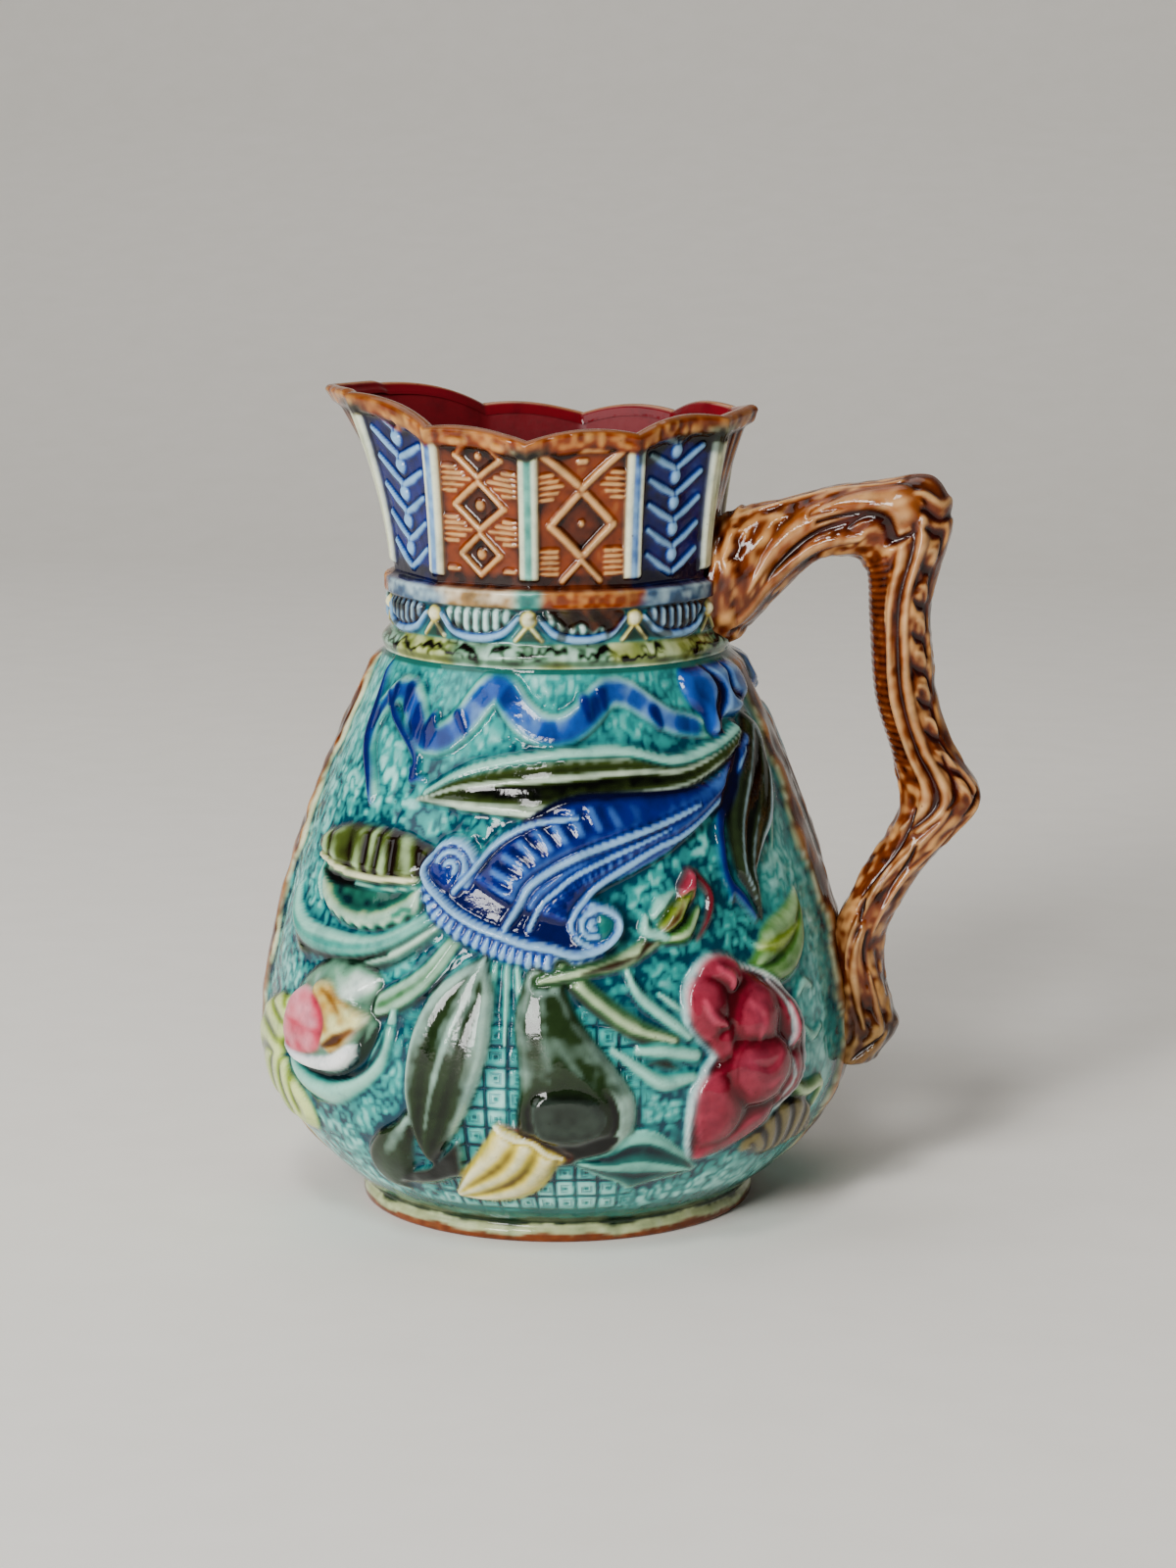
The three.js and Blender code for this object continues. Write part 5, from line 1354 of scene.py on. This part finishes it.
# The handle: a gnarled branch of the same earthenware, pressed in a mould of its own, stuck to the neck and
# belly with slip, and glazed in browns. Each section runs from an inner to an outer edge,
# given as (percent of its reach, percent of its height).
HANDLE_REACH = 52.4
HANDLE_TOP = RIM_HEIGHT - 10.2
HANDLE_FOOT = BELLY_HEIGHT - 6
HANDLE_HALF_WIDTH = 8.4
HANDLE_ROOT_HALF_WIDTH = 10.5
HANDLE_INNER = [(-28.6, 69), (-1.9, 73.7), (13.5, 79.1), (33.2, 84.8), (45.6, 86.1), (54.2, 85.6),
                (55.7, 83.7), (52.3, 75.5), (47.5, 62), (49.6, 52.2), (49.2, 45.3), (41.2, 39.5), (21, 30),
                (6.7, 21.8), (-0.8, 10.2), (-5.3, 4.4), (-8, 0)]
HANDLE_OUTER = [(-15.3, 90), (9.5, 94.2), (25.8, 95.8), (50, 98), (71.6, 99.1), (95.8, 100), (100, 93.6),
                (85.3, 81.3), (76.9, 67.5), (77.1, 55.9), (85.5, 45.4), (70.4, 38.8), (45, 29.5),
                (28.2, 19.6), (25.6, 10.2), (26.7, 5.1), (15.3, 0)]


def centripetal(points, t):
    """A smooth line that keeps close to its points. t runs from 0 to 1."""
    p = np.array(points, float)
    ends = np.vstack([2 * p[0] - p[1], p, 2 * p[-1] - p[-2]])
    place = t * (len(p) - 1)
    i = np.clip(np.floor(place).astype(int), 0, len(p) - 2)
    a, b, c, d = (ends[i + k] for k in range(4))
    d0, d1, d2 = (np.sqrt(np.hypot(*(q - r).T))[:, None] for q, r in ((b, a), (c, b), (d, c)))
    before = ((b - a) / d0 - (c - a) / (d0 + d1) + (c - b) / d1) * d1
    after = ((c - b) / d1 - (d - b) / (d1 + d2) + (d - c) / d2) * d1
    f = (place - i)[:, None]
    bow = (-3 * b + 3 * c - 2 * before - after) * f**2
    return b + before * f + bow + (2 * b - 2 * c + before + after) * f**3


def handle_edge(sections, t):
    """The branch's inner or outer edge, as mm from the vessel's axis and mm up."""

    def place(out, percent):
        share_up = percent / 100
        return (BELLY_RADIUS + (NECK_RADIUS - BELLY_RADIUS) * share_up + HANDLE_REACH * out / 100,
                HANDLE_FOOT + (HANDLE_TOP - HANDLE_FOOT) * share_up)

    return centripetal([place(*each) for each in sections], t)


BRANCH_BROWN = glaze("3c1002", "844518", "d8a870")
BRANCH_DARK = glaze("340d02", "5c1f08", "8a4a1c")
STEPS, SIDES = 400, 150
END_ROUND = 2.2
BRANCH_START = 0.021  # as a share of its spans, where it comes out of the neck
BRANCH_MM_PER_DEGREE = 0.14
t = np.linspace(BRANCH_START, 1, 900)
middle_line = (handle_edge(HANDLE_INNER, t) + handle_edge(HANDLE_OUTER, t)) / 2
walked = np.concatenate([[0], np.cumsum(np.hypot(*np.diff(middle_line, axis=0).T))])
length = walked[-1]
station = np.linspace(0, length, STEPS)
t = np.interp(station, walked, t)
inner, outer = handle_edge(HANDLE_INNER, t), handle_edge(HANDLE_OUTER, t)
spans = len(HANDLE_INNER) - 1
widths = [HANDLE_ROOT_HALF_WIDTH] * 2 + [HANDLE_HALF_WIDTH] * (spans - 1)
half_width = np.interp(t * spans, np.arange(spans + 1), widths)
# A rounded end under the last section.
bend = np.linspace(0, math.pi / 2, 11)[1:]
heading = middle_line[-1] - middle_line[-12]
heading = heading / np.hypot(*heading)
centre = (inner + outer) / 2
half = (outer - inner) / 2
centre = np.vstack([centre, centre[-1] + END_ROUND * np.sin(bend)[:, None] * heading])
half = np.vstack([half, half[-1] * np.cos(bend)[:, None] ** 0.7])
half_width = np.concatenate([half_width, half_width[-1] * np.cos(bend) ** 0.7])
station = np.concatenate([station, length + END_ROUND * np.sin(bend)])
around = np.linspace(0, 2 * math.pi, SIDES, endpoint=False)
plane = centre[:, None] + half[:, None] * np.cos(around)[None, :, None]
base = np.stack([plane[..., 0], -half_width[:, None] * np.sin(around), plane[..., 1]], -1)
reach = np.maximum(np.hypot(*half.T), 0.1)[:, None, None]
leaning = half[:, None] * np.cos(around)[None, :, None] / reach**2
outward = np.stack([leaning[..., 0], -np.sin(around)[None] / np.maximum(half_width[:, None], 0.1),
                    leaning[..., 1]], -1)
outward /= np.linalg.norm(outward, axis=-1, keepdims=True)

# Places on the branch are (degrees round it, from 0 outside to 180 in the finger gap, mm along it).
degrees_round = np.degrees(np.minimum(around, 2 * math.pi - around))
branch = Skin(np.broadcast_to(degrees_round, base.shape[:2]),
              np.broadcast_to(station[:, None], base.shape[:2]), BRANCH_BROWN,
              mm_per_degree=BRANCH_MM_PER_DEGREE)


def groove(depth=0.7):
    """A rounded channel, with the glaze pooled in it."""
    return lambda q, s, inside, length: (-depth * np.sqrt(np.clip(1 - q * q, 0, 1)), 0.7 * q * q - 0.4)


def draw_branch(skin):
    """The bark, the same on both sides of the branch."""
    s, a = skin.up, skin.across
    u = BRANCH_MM_PER_DEGREE * a
    knots = np.sin(s * 0.23 + 1.1 * np.sin(a * 0.035)) * np.sin(a * 0.06 + 0.9 * np.sin(s * 0.11))
    bark = noise(u + 0.6 * knots, s * 0.5, 1.5, 81)
    crumb = noise(u, s, 1.6, 82)
    skin.height += 0.45 * knots + 0.28 * bark + 0.12 * crumb
    skin.tone += 0.15 + 0.3 * knots + 0.55 * bark + 0.35 * crumb
    # Hatching on the inner side.
    hatch_zone = smooth((a - 112) / 6) * smooth((s - 50) / 4) * smooth((108 - s) / 8)
    hatch = np.sin(2 * np.pi * (s + 0.05 * a) / 1.9)
    skin.height += hatch_zone * (0.22 * hatch - 0.4 - skin.height)
    skin.tone += hatch_zone * (-0.45 + 0.3 * hatch - skin.tone)
    # The long ridges and the groove between them.
    run = [(72, 47), (82, 54), (90, 64), (92, 80), (92, 96), (88, 108), (94, 116), (112, 122)]
    for shift, width in ((15, 2.4), (-14, 2.8)):
        skin.line([(x + shift, y) for x, y in run], [1, width, 0.6 * width, width, 0.7 * width, width, 1.4],
                  CARAMEL, ridge(1.0, 0.5))
    skin.line(run, [0.5, 1.2, 1.4, 1.2, 1.5, 2.0, 0.9], BRANCH_DARK, groove())
    # Commas of bark down the outer side.
    for k in range(8):
        y = 52 + 7.6 * k
        skin.line([(64, y), (50, y + 2.4), (34, y + 4), (30, y + 8)], [0.6, 2.4, 1.8, 0.6], BRANCH_DARK,
                  groove(0.8))
        skin.line([(58, y + 5.2), (44, y + 6.6), (38, y + 9.6)], [0.6, 1.6, 0.5], CARAMEL, ridge(0.8, 0.7))
    # Curled leaves on the top branch.
    for tail, belly, end in (((112, 10), (76, 22), (60, 35)), ((62, 26), (52, 38), (78, 47))):
        skin.line([tail, belly, end], [1.5, 5.2, 7.0, 5.4], CARAMEL, lambda q, s2, inside, length: (
            domed(inside, 1.3, 2.4), 0.25 + 0.35 * np.cos(q * 5) - 0.35 * smooth(1 - inside / 0.5)))
        skin.line([(tail[0] + 16, tail[1] + 2), (belly[0] + 26, belly[1] + 1), (end[0] + 26, end[1] + 2),
                   (end[0], end[1] + 4.6)], [0.8, 1.8, 2.6, 1.2], BRANCH_DARK, groove(1.0))
    skin.line([(98, 36), (82, 39), (90, 44)], [1.0, 2.8, 1.0], BRANCH_DARK, groove(1.1))
    skin.line([(140, 6), (128, 18), (120, 30), (118, 42)], [2, 4, 3.4, 1.6], CARAMEL, ridge(1.1, 0.35))
    # The flat top, cut off at the corner.
    skin.line([(24, 4), (22, 20), (24, 34), (26, 46)], [1.2, 1.3, 1.3, 1.4], CARAMEL, ridge(0.6, 0.9))
    cut = [(0, 43), (26, 42), (44, 46), (40, 50), (0, 51)]
    skin.patch(cut, BRANCH_BROWN, lambda inside, x, y: (-0.5 * smooth(inside), -0.2 + 0.3 * np.sin(2 * x)))
    skin.line([(0, 51), (34, 50.4), (52, 46)], 1.3, CARAMEL, ridge(0.7, 0.9))
    skin.line([(0, 53), (40, 52.6), (60, 49)], 1.3, BRANCH_DARK, groove(0.8))
    # Below the elbow: streaks, knots and a few dark cracks.
    for points, width in (([(70, 112), (76, 122), (92, 132), (96, 146)], 2.6),
                          ([(104, 132), (100, 146), (108, 160)], 2.0),
                          ([(84, 150), (92, 162), (84, 174)], 3.0),
                          ([(40, 122), (56, 134), (60, 150)], 2.4),
                          ([(60, 160), (54, 170), (60, 180)], 2.0),
                          ([(30, 108), (22, 116), (30, 126)], 2.0)):
        skin.line(points, [0.8, width, 0.8], CARAMEL, ridge(0.9, 0.5))
    for points in ([(48, 104), (60, 112), (74, 116)], [(86, 126), (74, 132), (70, 140)],
                   [(110, 142), (96, 148)], [(70, 150), (66, 158)], [(16, 112), (40, 118)],
                   [(120, 116), (112, 130), (120, 142)], [(50, 176), (90, 182)]):
        skin.line(points, [0.7, 1.8, 0.6], BRANCH_DARK, groove(0.8))
    # The ragged plate of slip at the root.
    ragged = 6.6 + 1.2 * np.sin(a * 0.16) + 0.8 * np.sin(a * 0.41 + 1)
    plate = smooth((ragged - s) / 0.7 + 0.5)
    lump = noise(u, s, 2.4, 86) + 0.6 * crumb
    skin.stain(plate, BRANCH_BROWN, 0.1 + 0.9 * lump, 0.9 + 0.6 * lump)
    skin.tone = 0.82 * skin.tone + 0.3 * crumb + 0.25 * bark
    skin.stain(0.7 * smooth((s - 158) / 18), glaze("140a04", "4c3216", "9a8050"))


draw_branch(branch)
branch.height *= smooth((station[-1] + 0.5 - branch.up) / 4)
branch.pool(0.9, 0.5)
points = base + outward * branch.height.reshape(base.shape[:2])[..., None]
points = points[:, ::-1]
tints = branch.colours().reshape(*base.shape[:2], 3)[:, ::-1].reshape(-1, 3)
handle = mesh_from_grid("handle", points, True, {"glaze": with_alpha(tints)})
handle.data.materials.append(glazed("majolica_handle"))

# The floor and backdrop: a plain pale studio sweep of paper, lit by two window panes, the sky over them and
# soft daylight from the spout's side and from above.
sweep = bpy.data.meshes.new("sweep")
deep = [(-3, -3, 0), (3, -3, 0), (3, 1.2, 0), (-3, 1.2, 0), (3, 1.8, 0.25), (-3, 1.8, 0.25), (3, 2.1, 0.9),
        (-3, 2.1, 0.9), (3, 2.2, 4), (-3, 2.2, 4)]
sweep.from_pydata(deep, [], [(0, 1, 2, 3), (3, 2, 4, 5), (5, 4, 6, 7), (7, 6, 8, 9)])
for face in sweep.polygons:
    face.use_smooth = True
floor = bpy.data.objects.new("floor", sweep)
bpy.context.collection.objects.link(floor)
paper = bpy.data.materials.new("pale_paper")
paper.use_nodes = True
wires = Wires(paper.node_tree)
fibre = wires.node("ShaderNodeTexNoise", Scale=300.0, Detail=4.0)
shader = paper.node_tree.nodes["Principled BSDF"]
wires.feed(shader.inputs["Base Color"], wires.mix(fibre, (*colour("f2efe9"), 1), (*colour("f8f5f0"), 1)))
shader.inputs["Roughness"].default_value = 0.9
sweep.materials.append(paper)


def soft_light(name, place, look_at, size, power, tint):
    """A lamp as large as a window pane. size is in metres, power in watts."""
    lamp = bpy.data.lights.new(name, "AREA")
    lamp.shape = "RECTANGLE"
    lamp.size, lamp.size_y = size
    lamp.energy = power
    lamp.color = tint
    holder = bpy.data.objects.new(name, lamp)
    bpy.context.collection.objects.link(holder)
    holder.location = place
    aim = np.array(look_at) - np.array(place)
    holder.rotation_euler = (math.atan2(math.hypot(aim[0], aim[1]), -aim[2]), 0, math.atan2(aim[1], aim[0])
                             - math.pi / 2)


middle = (axis_x, 0, 0.1)
soft_light("low_pane", (axis_x - 0.79, -1.7, 0.44), (axis_x, 0, 0.06), (0.4, 0.74), 27, (1.0, 0.99, 0.97))
soft_light("high_pane", (axis_x - 0.38, -1.65, 1.0), (axis_x, 0, 0.09), (0.3, 0.5), 16, (1.0, 0.99, 0.97))
soft_light("skylight", (axis_x - 0.15, -1.35, 1.9), middle, (0.35, 0.5), 12, (1.0, 0.99, 0.97))
soft_light("daylight", (axis_x - 1.5, -0.9, 1.0), middle, (1.0, 1.2), 8, (0.97, 0.99, 1.0))
soft_light("top", (axis_x - 0.4, 0.5, 1.7), middle, (1.4, 1.2), 8, (1.0, 0.98, 0.96))
world = bpy.data.worlds.new("studio")
world.use_nodes = True
background = world.node_tree.nodes["Background"]
background.inputs["Color"].default_value = (0.9, 0.88, 0.85, 1)
background.inputs["Strength"].default_value = 0.1
bpy.context.scene.world = world

# The camera stands a little to the handle's side of the front, and looks slightly down.
CAMERA_SIDE = math.radians(9.4)
CAMERA_DISTANCE = 0.866
CAMERA_HEIGHT = 0.257
CAMERA_DOWN = math.radians(10.36)
FOCAL_PIXELS = 3784
IMAGE_WIDTH, IMAGE_HEIGHT = 1200, 1600
AXIS_PIXEL = 568
lens = bpy.data.cameras.new("camera")
lens.sensor_width = 36
lens.lens = FOCAL_PIXELS / IMAGE_HEIGHT * lens.sensor_width
camera = bpy.data.objects.new("camera", lens)
bpy.context.collection.objects.link(camera)
camera.location = (axis_x + CAMERA_DISTANCE * math.sin(CAMERA_SIDE),
                   -CAMERA_DISTANCE * math.cos(CAMERA_SIDE), CAMERA_HEIGHT)
aside = math.atan((IMAGE_WIDTH / 2 - AXIS_PIXEL) / FOCAL_PIXELS)
camera.rotation_euler = (math.pi / 2 - CAMERA_DOWN, 0, CAMERA_SIDE - aside)
bpy.context.scene.camera = camera
